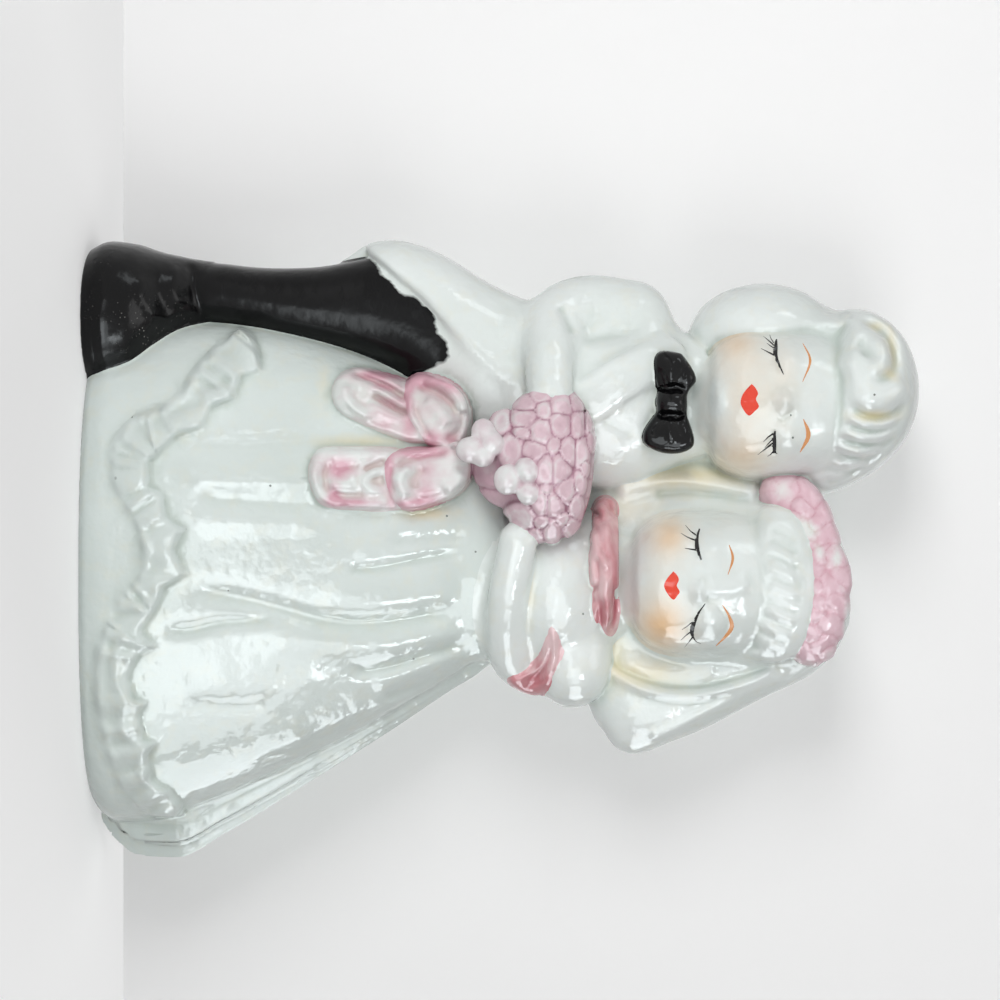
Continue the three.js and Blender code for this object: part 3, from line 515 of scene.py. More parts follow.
TAILS = [(-0.235, 0.045, 0.44, 0.046), (-0.262, 0.064, 0.34, 0.04), (-0.272, 0.06, 0.2, 0.032)]
TAIL_SPREAD = 4.2
COAT_BLEND = 2.2
TAIL_FLAT_SHARE = 0.42
COAT_FOLDS = [
    ([(-0.3, 0.505), (-0.26, 0.5), (-0.21, 0.51)], 1.5, -0.5),
    ([(-0.285, 0.675), (-0.262, 0.66), (-0.25, 0.62), (-0.245, 0.59)], 1.0, -0.5),
    ([(-0.13, 0.66), (-0.14, 0.64), (-0.152, 0.615)], 0.9, -0.3),
]
COAT_BACK_FOLDS = [
    ([(-0.178, 0.7), (-0.18, 0.62), (-0.19, 0.53), (-0.215, 0.45)], 0.5, -0.6),
    ([(-0.235, 0.6), (-0.243, 0.53), (-0.265, 0.46)], 1.4, -0.5),
    ([(-0.12, 0.6), (-0.128, 0.53), (-0.14, 0.46)], 1.4, -0.4),
    ([(-0.25, 0.5), (-0.19, 0.515), (-0.13, 0.505)], 1.0, -0.5),
]


CUTAWAY_BACK = 0.3
CUTAWAY_ROUND = 1.6


def coat_trim(body, x, y, z):
    """Cuts the front of the coat away below its edge"""
    away = region(shares(COAT_EDGE), x[:, :, 0], z[0])
    cutaway = np.maximum(away[:, None, :], y - CUTAWAY_BACK)
    return -soft_min(-body, cutaway, CUTAWAY_ROUND)


def limb_points(points, shift=0.0):
    """Points of a limb from shares of the height, moved sideways"""
    return [(x * TALL + shift, y * TALL, z * TALL, r * TALL) for x, y, z, r in points]


shape_clay("tailcoat", [
    stack(tall_rows(COAT_ROWS)),
    *(limb(limb_points(TAILS, side * TAIL_SPREAD), TAIL_FLAT_SHARE) for side in (-1, 1))],
    blend=COAT_BLEND, trim=coat_trim,
    relief=reliefs(front_relief(COAT_FOLDS, -5.0, 0.0), front_relief(COAT_BACK_FOLDS, 6.0, 2.0)))

SLEEVE = [(-0.272, -0.006, 0.652, 0.052), (-0.284, -0.01, 0.6, 0.045), (-0.272, -0.034, 0.564, 0.038),
          (-0.235, -0.075, 0.556, 0.031), (-0.18, -0.108, 0.556, 0.027)]
SLEEVE_FOLDS = [([(-0.29, 0.567), (-0.275, 0.574), (-0.249, 0.586)], 0.8, -0.6),
                ([(-0.3, 0.6), (-0.28, 0.596), (-0.262, 0.6)], 1.2, 0.3)]
LAPEL = [(-0.226, -0.058, 0.695), (-0.214, -0.078, 0.668), (-0.197, -0.088, 0.638), (-0.172, -0.088, 0.602)]
LAPEL_RADIUS = 3.1
LAPEL_FLAT_SHARE = 0.4
ARM_STEPS = 8

shape_clay("groom_sleeve", [limb(limb_points(SLEEVE), steps=ARM_STEPS)],
           relief=front_relief(SLEEVE_FOLDS, -5.0, 0.0))
shape_clay("coat_lapel", [limb([(*(value * TALL for value in place), LAPEL_RADIUS) for place in LAPEL],
                               LAPEL_FLAT_SHARE)])

TIE_MIDDLE = -9.9
TIE_HALF_DEPTH = 2.1
TIE_ROUNDING = 1.2
TIE_STEPS = 4
TIE_OUTLINE = [
    (-0.228, 0.712), (-0.2, 0.73), (-0.187, 0.722), (-0.176, 0.716), (-0.158, 0.718), (-0.145, 0.722),
    (-0.122, 0.728), (-0.112, 0.715), (-0.112, 0.69), (-0.122, 0.67), (-0.135, 0.669), (-0.152, 0.68),
    (-0.16, 0.687), (-0.182, 0.687), (-0.195, 0.685), (-0.22, 0.682), (-0.231, 0.69)]
TIE_FOLDS = [
    ([(-0.187, 0.705), (-0.2, 0.712), (-0.214, 0.718)], 0.5, -0.45),
    ([(-0.187, 0.7), (-0.205, 0.7), (-0.222, 0.702)], 0.5, 0.4),
    ([(-0.187, 0.695), (-0.2, 0.69), (-0.213, 0.686)], 0.5, -0.45),
    ([(-0.155, 0.706), (-0.14, 0.713), (-0.126, 0.72)], 0.5, -0.45),
    ([(-0.155, 0.7), (-0.14, 0.699), (-0.12, 0.702)], 0.5, 0.4),
    ([(-0.155, 0.694), (-0.145, 0.686), (-0.13, 0.678)], 0.5, -0.45),
    ([(-0.186, 0.72), (-0.188, 0.702), (-0.186, 0.684)], 0.55, -0.9),
    ([(-0.156, 0.72), (-0.154, 0.702), (-0.157, 0.684)], 0.55, -0.9),
]
TIE_DOMES = [((-0.208, 0.705), (0.02, 0.02), 0.9), ((-0.134, 0.7), (0.02, 0.022), 0.9),
             ((-0.171, 0.702), (0.011, 0.02), 1.3)]

shape_clay("bow_tie", [slab(closed_line(TIE_OUTLINE, TIE_STEPS), TIE_MIDDLE, TIE_HALF_DEPTH, TIE_ROUNDING)],
           relief=front_relief(TIE_FOLDS, TIE_MIDDLE, -8.0, TIE_DOMES))


# Heads

HEAD = 25.4
GROOM_CHIN = np.array([-21.8, 0.0, 94.6])
BRIDE_CHIN = np.array([5.97, -2.54, 82.93])


def head_rows(middle, table):
    """Rows in heads from a middle. Each holds z, x, y, half width, front depth and back depth."""
    return [(middle[2] + z * HEAD, middle[0] + x * HEAD, middle[1] + y * HEAD,
             half * HEAD, front * HEAD, back * HEAD) for z, x, y, half, front, back in table]


def face_rows(chin, table):
    """Rows of a face, which stand straight over the chin. Each holds z, half width, front and back."""
    return head_rows(chin, [(z, 0, 0, *sizes) for z, *sizes in table])


def head_blobs(middle, table, tilt=0.0):
    """Ellipsoids from places and radii in heads"""
    return [ellipsoid(middle + HEAD * np.array(row[:3]), HEAD * np.array(row[3:]), tilt) for row in table]


GROOM_FACE_ROWS = [
    (-0.12, 0.3, 0.26, 0.24), (0, 0.3, 0.41, 0.3), (0.06, 0.38, 0.48, 0.34), (0.15, 0.44, 0.525, 0.38),
    (0.275, 0.475, 0.55, 0.42), (0.425, 0.48, 0.56, 0.46), (0.625, 0.465, 0.54, 0.48),
    (0.825, 0.4, 0.475, 0.45), (0.975, 0.27, 0.32, 0.3)]


GROOM_FACE_DOMES = [
    # place and radii in shares, then height in millimetres: lids, nose, bridge, mouth, chin and cheeks
    ((-0.222, 0.842), (0.021, 0.0135), 0.75), ((-0.127, 0.84), (0.02, 0.0155), 0.95),
    ((-0.172, 0.8345), (0.0115, 0.011), 1.7), ((-0.173, 0.866), (0.015, 0.026), 0.4),
    ((-0.174, 0.789), (0.034, 0.027), 0.8), ((-0.1745, 0.759), (0.018, 0.009), 0.55),
    ((-0.237, 0.784), (0.026, 0.026), 0.7), ((-0.116, 0.785), (0.026, 0.026), 0.7)]
GROOM_FACE_LINES = [
    ([(-0.16, 0.847), (-0.153, 0.837), (-0.146, 0.828)], 0.6, -0.35),
    ([(-0.249, 0.826), (-0.226, 0.824), (-0.202, 0.832)], 0.45, -0.28),
    ([(-0.139, 0.822), (-0.122, 0.821), (-0.108, 0.824)], 0.45, -0.28)]

shape_clay("groom_head", [stack(face_rows(GROOM_CHIN, GROOM_FACE_ROWS), HEAD_CORNER)],
           relief=front_relief(GROOM_FACE_LINES, -10.0, -4.0, GROOM_FACE_DOMES))

GROOM_HAIR = [
    # x, y, z and radii from the chin, in heads
    (-0.4, 0.085, 0.36, 0.345, 0.42, 0.46), (0.15, 0.085, 0.58, 0.42, 0.45, 0.55),
    (-0.08, -0.03, 0.885, 0.5, 0.58, 0.415), (-0.1, 0.22, 0.5, 0.52, 0.45, 0.6)]
GROOM_FACE_OPENING = [
    (-0.2635, 0.909), (-0.235, 0.908), (-0.216, 0.9015), (-0.195, 0.907), (-0.162, 0.903), (-0.14, 0.896),
    (-0.125, 0.889), (-0.1, 0.889), (-0.09, 0.87), (-0.086, 0.84), (-0.083, 0.8), (-0.09, 0.77),
    (-0.11, 0.75), (-0.17, 0.74), (-0.235, 0.75), (-0.248, 0.79), (-0.251, 0.84), (-0.257, 0.88)]
HAIR_STRANDS = [
    # the curl: its outer groove, inner roll and hollow
    ([(-0.268, 0.915), (-0.265, 0.94), (-0.248, 0.96), (-0.225, 0.967), (-0.206, 0.963), (-0.197, 0.948),
      (-0.199, 0.93)], 0.9, -0.75),
    ([(-0.25, 0.935), (-0.238, 0.95), (-0.222, 0.953), (-0.211, 0.942), (-0.213, 0.925)], 1.3, 0.8),
    ([(-0.245, 0.918), (-0.233, 0.93), (-0.224, 0.925)], 1.2, -0.7),
    # the front mass and the deep crease beside it
    ([(-0.2, 0.985), (-0.183, 0.965), (-0.178, 0.94), (-0.19, 0.915)], 2.6, 0.8),
    ([(-0.178, 0.985), (-0.158, 0.968), (-0.151, 0.945), (-0.157, 0.921), (-0.176, 0.905)], 0.9, -1.1),
    # strands that sweep over to the right, rolls and grooves in turn
    ([(-0.17, 0.987), (-0.15, 0.968), (-0.1435, 0.945), (-0.148, 0.922), (-0.162, 0.904)], 1.0, 0.45),
    ([(-0.165, 0.986), (-0.143, 0.967), (-0.1355, 0.943), (-0.139, 0.918), (-0.15, 0.9)], 0.75, -0.8),
    ([(-0.157, 0.985), (-0.135, 0.966), (-0.1275, 0.942), (-0.1305, 0.918), (-0.141, 0.9)], 0.95, 0.4),
    ([(-0.15, 0.984), (-0.127, 0.963), (-0.1195, 0.94), (-0.122, 0.915), (-0.131, 0.893)], 0.75, -0.75),
    ([(-0.141, 0.978), (-0.119, 0.958), (-0.1115, 0.936), (-0.114, 0.912), (-0.122, 0.892)], 0.9, 0.35),
    ([(-0.133, 0.972), (-0.11, 0.95), (-0.1035, 0.93), (-0.106, 0.908), (-0.113, 0.888)], 0.7, -0.7),
    ([(-0.123, 0.965), (-0.102, 0.945), (-0.096, 0.925), (-0.098, 0.903)], 0.8, 0.3),
    ([(-0.113, 0.955), (-0.095, 0.935), (-0.0885, 0.916), (-0.091, 0.895), (-0.096, 0.882)], 0.65, -0.6),
    ([(-0.098, 0.935), (-0.083, 0.917), (-0.077, 0.9), (-0.08, 0.885)], 0.55, -0.5),
    # the left side, down to the lobe
    ([(-0.225, 0.99), (-0.252, 0.977), (-0.276, 0.95), (-0.283, 0.925)], 1.4, 0.3),
    ([(-0.303, 0.897), (-0.285, 0.902), (-0.266, 0.91)], 1.5, -0.8),
]
HAIR_BACK_STRANDS = fan(
    -0.182, 0.1, 11, [(0.3, 0.975), (0.75, 0.91), (1, 0.84), (0.95, 0.78), (0.8, 0.73)], 0.8, -0.7)
HAIR_STRAND_SHARE = 1.25
HAIR_TAPER = 0.25
HAIR_BLEND = 2.5
HAIRLINE_WIDTH = 3.4
HAIRLINE_DROP = 3.2


def groom_strands(x, y, z):
    """The strands, and the drop from the hairline to the face"""
    lift = HAIR_STRAND_SHARE * front_relief(HAIR_STRANDS, -11.0, 3.0, taper=HAIR_TAPER)(x, y, z)
    lift += front_relief(HAIR_BACK_STRANDS, 9.0, 3.0)(x, y, z)
    away = opening(GROOM_FACE_OPENING, x[:, :, 0], z[0])
    drop = HAIRLINE_DROP * ease(0.5 - away / HAIRLINE_WIDTH)
    return lift - drop[:, None, :] * front_weight(y, -9.0, 0.0)


shape_clay("groom_hair", head_blobs(GROOM_CHIN, GROOM_HAIR), HAIR_BLEND, relief=groom_strands)

# Bride's bodice and arm

WAIST = np.array([0.0, 0.0, 59.055])
BODICE_ROWS = [
    (-0.1, 0.2, 0, 0.45, 0.38, 0.34), (0.05, 0.23, 0, 0.46, 0.4, 0.35), (0.25, 0.26, 0, 0.5, 0.44, 0.37),
    (0.5, 0.28, 0, 0.52, 0.48, 0.38), (0.7, 0.26, 0, 0.47, 0.44, 0.37),
    (0.85, 0.24, -0.04, 0.36, 0.34, 0.33), (1, 0.235, -0.06, 0.28, 0.28, 0.3)]
BODICE_BLEND = 3.0
BUST = (0.24, -0.28, 0.5, 0.34, 0.25, 0.22)
FOREARM = [(0.76, -0.02, 0.52, 0.13), (0.77, -0.1, 0.32, 0.135), (0.64, -0.27, 0.2, 0.125),
           (0.32, -0.47, 0.2, 0.115), (-0.03, -0.56, 0.27, 0.115)]
PUFF = (0.73, -0.1, 0.6, 0.27, 0.31, 0.235)
PUFF_TILT = 0.03

shape_clay("bodice", [stack(head_rows(WAIST, BODICE_ROWS)), *head_blobs(WAIST, [BUST])], BODICE_BLEND)
shape_clay("puff_sleeve", head_blobs(WAIST, [PUFF], PUFF_TILT))
shape_clay("bride_arm", [limb([(WAIST[0] + x * HEAD, y * HEAD, WAIST[2] + z * HEAD, r * HEAD)
                               for x, y, z, r in FOREARM], steps=ARM_STEPS)])

BAND_OUTLINE = [
    (0.094, 0.556), (0.1, 0.563), (0.113, 0.57), (0.13, 0.572), (0.148, 0.568), (0.165, 0.56), (0.18, 0.552),
    (0.19, 0.54), (0.187, 0.525), (0.178, 0.512), (0.165, 0.502), (0.158, 0.508), (0.154, 0.52),
    (0.145, 0.532), (0.133, 0.541), (0.118, 0.548), (0.104, 0.553)]
BAND_FOLDS = [([(0.098, 0.557), (0.13, 0.556), (0.155, 0.543), (0.168, 0.52)], 0.4, -0.35),
              ([(0.1, 0.56), (0.135, 0.561), (0.162, 0.549), (0.176, 0.53)], 0.45, 0.3),
              ([(0.105, 0.5555), (0.13, 0.551), (0.15, 0.538), (0.162, 0.516)], 0.45, 0.3),
              ([(0.105, 0.565), (0.14, 0.566), (0.168, 0.555)], 0.35, -0.3),
              ([(0.15, 0.56), (0.165, 0.545), (0.174, 0.52)], 0.35, -0.35)]


BAND_THICK = 0.7
EDGE_WIDTH = 1.2  # over which a band or a ribbon rises from its edge


def band_thickness(x, z, away):
    """A thin band with folds"""
    return BAND_THICK * ease(-away / EDGE_WIDTH) + sum(stroke(x, z, *line) for line in BAND_FOLDS)


laid_on("arm_band", ["puff_sleeve", "bride_arm", "bodice"], closed_line(BAND_OUTLINE),
        band_thickness, -2.0, 4.0)

BRIDE_FACE_ROWS = [
    (-0.12, 0.26, 0.22, 0.24), (0, 0.28, 0.36, 0.28), (0.06, 0.35, 0.45, 0.32), (0.15, 0.41, 0.5, 0.38),
    (0.29, 0.45, 0.53, 0.43), (0.44, 0.46, 0.535, 0.46), (0.64, 0.445, 0.51, 0.47),
    (0.84, 0.39, 0.43, 0.43), (1, 0.28, 0.3, 0.3)]


BRIDE_FACE_DOMES = [
    ((0.0045, 0.7475), (0.022, 0.0145), 0.75), ((0.094, 0.7455), (0.023, 0.0175), 1.0),
    ((0.053, 0.7325), (0.0115, 0.01), 1.35), ((0.045, 0.689), (0.036, 0.026), 1.0),
    ((-0.008, 0.694), (0.026, 0.025), 0.65), ((0.1, 0.688), (0.026, 0.027), 0.9)]
BRIDE_FACE_LINES = [
    ([(0.043, 0.795), (0.048, 0.77), (0.053, 0.738)], 1.5, 0.8),
    ([(0.07, 0.752), (0.08, 0.762), (0.096, 0.766), (0.114, 0.757)], 0.5, -0.25),
    ([(0.066, 0.757), (0.065, 0.748), (0.063, 0.74)], 0.6, -0.3),
    ([(-0.021, 0.733), (-0.003, 0.729), (0.017, 0.734)], 0.45, -0.28),
    ([(0.068, 0.739), (0.085, 0.729), (0.1, 0.724), (0.113, 0.727)], 0.45, -0.28)]

shape_clay("bride_head", [stack(face_rows(BRIDE_CHIN, BRIDE_FACE_ROWS), HEAD_CORNER)],
           relief=front_relief(BRIDE_FACE_LINES, -12.0, -6.0, BRIDE_FACE_DOMES))

BRIDE_HAIR = [
    (0.01, 0.12, 0.43, 0.56, 0.46, 0.56), (0.01, 0.06, 0.82, 0.52, 0.42, 0.4),
    (-0.01, -0.24, 0.88, 0.45, 0.25, 0.27)]
FRINGE_EDGE = [(-0.03, 0.806), (-0.02, 0.802), (-0.009, 0.801), (0.003, 0.8), (0.03, 0.804),
               (0.065, 0.808), (0.087, 0.801), (0.106, 0.796)]
BRIDE_FACE_OPENING = FRINGE_EDGE + [
    (0.122, 0.79), (0.125, 0.75), (0.124, 0.7), (0.11, 0.66), (0.085, 0.64), (0.0, 0.64), (-0.028, 0.66),
    (-0.041, 0.7), (-0.044, 0.75), (-0.039, 0.795)]
FRINGE_STRANDS = [
    # grooves that fan out from under the headpiece
    ([(0.0, 0.852), (-0.012, 0.835), (-0.021, 0.815)], 0.8, -0.8),
    ([(0.013, 0.854), (0.0, 0.835), (-0.009, 0.811)], 0.75, -0.9),
    ([(0.031, 0.857), (0.018, 0.835), (0.007, 0.808)], 0.7, -0.9),
    ([(0.051, 0.86), (0.045, 0.84), (0.036, 0.813)], 0.9, -0.65),
    ([(0.067, 0.86), (0.061, 0.838), (0.052, 0.818)], 0.7, -0.55),
    ([(0.082, 0.855), (0.073, 0.832), (0.063, 0.81)], 0.75, -0.6),
    ([(0.101, 0.85), (0.091, 0.825), (0.078, 0.802)], 0.8, -0.65),
    ([(0.116, 0.842), (0.109, 0.82), (0.097, 0.799)], 0.7, -0.55),
    ([(0.129, 0.832), (0.125, 0.81), (0.112, 0.79)], 0.8, -0.5),
    # strands between them
    ([(0.022, 0.85), (0.012, 0.828), (0.004, 0.81)], 1.0, 0.35),
    ([(0.041, 0.853), (0.032, 0.83), (0.024, 0.811)], 1.0, 0.4),
    ([(0.059, 0.855), (0.053, 0.833), (0.045, 0.815)], 0.9, 0.4),
    ([(0.091, 0.851), (0.082, 0.828), (0.071, 0.807)], 1.0, 0.45),
    ([(0.109, 0.845), (0.1, 0.822), (0.088, 0.802)], 0.9, 0.4),
    # waves at the temples
    ([(-0.022, 0.835), (-0.03, 0.815), (-0.033, 0.785), (-0.036, 0.75)], 1.0, 0.4),
    ([(0.128, 0.82), (0.131, 0.8), (0.126, 0.77), (0.124, 0.74)], 1.0, 0.4),
    ([(0.09, 0.797), (0.105, 0.789), (0.12, 0.793)], 0.7, -0.35),
]
FRINGE_STRAND_SHARE = 0.65
FRINGE_TAPER = 0.2
BRIDE_HAIR_BLEND = 4.0
FRINGE_WIDTH = 5.2
FRINGE_DROP = 1.9


def fringe_relief(x, y, z):
    """The fringe, and the drop from the hairline to the face"""
    lift = FRINGE_STRAND_SHARE * front_relief(FRINGE_STRANDS, -10.0, -2.0, taper=FRINGE_TAPER)(x, y, z)
    away = opening(BRIDE_FACE_OPENING, x[:, :, 0], z[0])
    drop = FRINGE_DROP * ease(0.5 - away / FRINGE_WIDTH)
    return lift - drop[:, None, :] * front_weight(y, -9.0, -3.0)


shape_clay("bride_hair", head_blobs(BRIDE_CHIN, BRIDE_HAIR), BRIDE_HAIR_BLEND, relief=fringe_relief)

VEIL_ROWS = [
    (-1.75, 0.03, 0.6, 0.5, 0.08, 0.09), (-1.2, 0.03, 0.54, 0.5, 0.1, 0.12),
    (-0.8, 0.03, 0.46, 0.5, 0.12, 0.16), (-0.5, 0.02, 0.34, 0.52, 0.18, 0.24),
    (-0.3, 0, 0.26, 0.66, 0.23, 0.28), (-0.17, 0.02, 0.22, 0.84, 0.27, 0.32),
    (-0.05, 0.09, 0.19, 0.925, 0.28, 0.37), (0.02, 0.1, 0.18, 0.935, 0.28, 0.38),
    (0.24, 0.085, 0.17, 0.86, 0.28, 0.42), (0.54, 0.065, 0.15, 0.76, 0.28, 0.47),
    (0.84, 0.04, 0.13, 0.65, 0.27, 0.49), (1.09, 0.03, 0.1, 0.54, 0.28, 0.48),
    (1.25, 0.04, 0.08, 0.38, 0.26, 0.38), (1.33, 0.06, 0.06, 0.2, 0.16, 0.2)]
VEIL_BLEND = 2.0
VEIL_TAPER = 0.08
VEIL_RIDGES = [
    ([(0.146, 0.8345), (0.165, 0.799), (0.179, 0.751), (0.1815, 0.715), (0.177, 0.679), (0.162, 0.643),
      (0.143, 0.6215)], 0.9, 1.2),
    ([(0.138, 0.8345), (0.157, 0.799), (0.17, 0.751), (0.1725, 0.715), (0.168, 0.679), (0.153, 0.643),
      (0.134, 0.6215)], 0.7, -0.5),
    ([(0.154, 0.846), (0.187, 0.775), (0.2185, 0.715), (0.238, 0.675)], 0.8, 0.5),
    ([(-0.066, 0.815), (-0.074, 0.77), (-0.08, 0.727), (-0.078, 0.68), (-0.066, 0.63)], 1.5, 1.3),
    ([(-0.048, 0.8), (-0.058, 0.76), (-0.063, 0.72), (-0.06, 0.68)], 0.8, -0.6),
    ([(-0.095, 0.8), (-0.1, 0.75), (-0.102, 0.7), (-0.095, 0.64)], 0.9, -0.5),
    ([(0.15, 0.76), (0.153, 0.72), (0.15, 0.68), (0.14, 0.64)], 1.2, 0.4),
]
VEIL_FLAP = [((0.21, 0.68), (0.05, 0.09), 1.7)]
VEIL_BACK_FOLDS = fan(
    0.04, 0.15, 8, [(0.3, 0.9), (0.62, 0.82), (0.85, 0.74), (0.95, 0.66), (0.6, 0.57), (0.5, 0.48)],
    1.5, -0.9)
VEIL_FILL = ellipsoid(shares((-0.095, 0.02, 0.7)), shares((0.04, 0.04, 0.075)))

shape_clay("veil", [stack(head_rows(BRIDE_CHIN, VEIL_ROWS), VEIL_CORNER), VEIL_FILL], VEIL_BLEND,
           relief=reliefs(front_relief(VEIL_RIDGES, 0.0, 5.0, VEIL_FLAP, VEIL_TAPER),
                          front_relief(VEIL_BACK_FOLDS, 8.0, 3.0)))

# Collar
COLLAR_PLACE = np.array([-0.087, 0.02, -0.15])  # from the chin, in heads
COLLAR_REACH_SHARE = 0.36
COLLAR_TUBE = 2.2
COLLAR_FOLDS = [
    ([(-0.056, 0.63), (-0.035, 0.627), (-0.03, 0.618), (-0.045, 0.609)], 0.55, -0.7),
    ([(-0.05, 0.636), (-0.02, 0.632), (0.02, 0.633)], 0.5, -0.45),
    ([(-0.03, 0.611), (0.0, 0.618), (0.02, 0.63)], 0.5, -0.5),
    ([(-0.02, 0.607), (0.005, 0.613), (0.03, 0.627)], 0.8, 0.55),
    ([(0.045, 0.6345), (0.065, 0.634), (0.088, 0.633), (0.1, 0.626)], 0.45, -0.75),
    ([(0.03, 0.627), (0.055, 0.622), (0.09, 0.625), (0.105, 0.617)], 0.7, 0.55),
    ([(0.06, 0.62), (0.08, 0.6165), (0.1, 0.618), (0.11, 0.611)], 0.5, -0.6),
    ([(0.0, 0.606), (0.03, 0.606), (0.05, 0.61)], 0.8, 0.5),
    ([(0.01, 0.612), (0.04, 0.614), (0.058, 0.608)], 0.45, -0.5),
    ([(0.065, 0.609), (0.09, 0.61), (0.105, 0.607)], 0.7, 0.4),
]

shape_clay("collar", [ring(BRIDE_CHIN + HEAD * COLLAR_PLACE, COLLAR_REACH_SHARE * HEAD, COLLAR_TUBE,
                           depth=1.06, tall=0.93)], relief=front_relief(COLLAR_FOLDS, -6.0, 0.0))

# Flowers

CROWN_LINE = [(-0.55, -0.07, 0.9), (-0.52, -0.12, 1), (-0.37, -0.2, 1.09), (-0.14, -0.26, 1.145),
              (0.06, -0.27, 1.16), (0.24, -0.23, 1.125), (0.4, -0.14, 1.055)]
CROWN_RADIUS = 2.5
CROWN_CORE_SHARE = 1.12
CROWN_BLEND = 2.5
CROWN_FLORETS = 18  # in two rows
FLORET_SIDE_SHARE = 0.62
FLORET_FORWARD_SHARE = 0.3
FLORET_DEEP_SHARE = 0.75
FLORET_SPOTS = (0.1, 0.5)  # of the lower and the upper row, in spaces
CROWN_OUTLINE = [
    (-0.08, 0.848), (-0.076, 0.863), (-0.057, 0.879), (-0.038, 0.888), (-0.004, 0.9), (0.024, 0.913),
    (0.0555, 0.916), (0.09, 0.912), (0.127, 0.902), (0.142, 0.894), (0.15, 0.88), (0.139, 0.858),
    (0.1225, 0.846), (0.11, 0.844), (0.091, 0.849), (0.072, 0.859), (0.0435, 0.86), (0.005, 0.855),
    (-0.004, 0.849), (-0.02, 0.843), (-0.043, 0.834), (-0.052, 0.823), (-0.069, 0.819), (-0.078, 0.8305)]
CROWN_FLOWERS = [
    # x, z and size in millimetres
    (-0.064, 0.836, 2.9), (-0.059, 0.864, 2.3), (-0.034, 0.88, 2.2), (-0.047, 0.859, 2.0),
    (-0.031, 0.838, 1.9), (-0.014, 0.857, 2.0), (0.003, 0.864, 1.8), (-0.013, 0.886, 1.9),
    (0.011, 0.878, 2.0), (0.017, 0.892, 2.0), (0.036, 0.903, 2.0), (0.05, 0.89, 2.5), (0.027, 0.867, 2.2),
    (0.046, 0.868, 2.0), (0.066, 0.877, 2.2), (0.069, 0.895, 2.2), (0.081, 0.869, 2.1), (0.098, 0.888, 2.4),
    (0.101, 0.866, 2.5), (0.118, 0.881, 2.3), (0.132, 0.865, 2.1), (0.135, 0.888, 2.1), (0.124, 0.85, 1.9),
    (0.146, 0.874, 1.8), (0.1, 0.853, 1.6)]
CROWN_PETALS = 5
CROWN_DOME = 0.55
CROWN_LEVEL = 0.6  # the part of a dome that stands at the headpiece's own surface
CROWN_FALL = 0.8  # how steeply it falls off outside its outline
CROWN_LINE_DEPTH = 0.28
CROWN_SWAY = 0.45
CROWN_SWAY_RATES = (1.4, 1.7)
CROWN_TURN = 1.9  # from one flower's petals to the next one's
CROWN_TWIST = 1.2
CROWN_BORDER_WIDTH = 0.14
CROWN_VEIN_WIDTH = 0.17
CROWN_VEIN_SHARE = 0.6
CROWN_EYE = 0.3
CROWN_EYE_EDGE = 0.15
CROWN_DOME_REACH = 1.3


def crown_map(u, w):
    """Dome of the nearest flower, from 0 to 1, and the lines round it and its petals"""
    up, across = CROWN_SWAY_RATES
    u, w = u + CROWN_SWAY * np.sin(up * w), w + CROWN_SWAY * np.sin(across * u)
    first = np.full(np.broadcast(u, w).shape, HUGE)
    second = first.copy()
    petal = np.zeros_like(first)
    for i, (cx, cz, size) in enumerate(CROWN_FLOWERS):
        du, dw = u - cx * TALL, w - cz * TALL
        away = np.hypot(du, dw) / size
        turn = np.arctan2(dw, du) * CROWN_PETALS + CROWN_TURN * i + CROWN_TWIST * away
        edge = np.abs(np.sin(turn / 2))
        petal = np.where(away < first, edge, petal)
        second = np.minimum(second, np.maximum(first, away))
        first = np.minimum(first, away)
    border = np.exp(-((second - first) / CROWN_BORDER_WIDTH) ** 2)
    veins = CROWN_VEIN_SHARE * np.exp(-(petal / CROWN_VEIN_WIDTH) ** 2)
    veins *= ease((first - CROWN_EYE) / CROWN_EYE_EDGE)
    domes = np.sqrt(np.clip(1 - (first / CROWN_DOME_REACH) ** 2, 0, 1))
    return domes, np.clip(np.maximum(border, veins), 0, 1)


def crown_relief(x, y, z):
    """Flowers and the lines round them, which fall away outside the headpiece's outline"""
    dome_part, lines = crown_map(x[:, :, 0], z[0])
    away = opening(CROWN_OUTLINE, x[:, :, 0], z[0])
    lift = CROWN_DOME * (dome_part - CROWN_LEVEL) - CROWN_LINE_DEPTH * lines
    lift -= CROWN_FALL * np.maximum(away, 0)
    return lift[:, None, :] * front_weight(y, -6.0, 0.0)


crown_line = smooth_line([BRIDE_CHIN + HEAD * np.array(p) for p in CROWN_LINE], 6)
crown_core = limb([(*place, CROWN_RADIUS * CROWN_CORE_SHARE) for place in crown_line[::3]])
crown_florets = []
for i in range(CROWN_FLORETS):
    along = (i // 2 + FLORET_SPOTS[i % 2]) / (CROWN_FLORETS // 2)
    spot = crown_line[int(round(along * (len(crown_line) - 1)))]
    side = FLORET_SIDE_SHARE if i % 2 else -FLORET_SIDE_SHARE
    crown_florets.append(ellipsoid(spot + CROWN_RADIUS * np.array([0, -FLORET_FORWARD_SHARE, side]),
                                   CROWN_RADIUS * np.array([1, FLORET_DEEP_SHARE, 1])))
shape_clay("flower_headpiece", [crown_core, *crown_florets], CROWN_BLEND, relief=crown_relief)

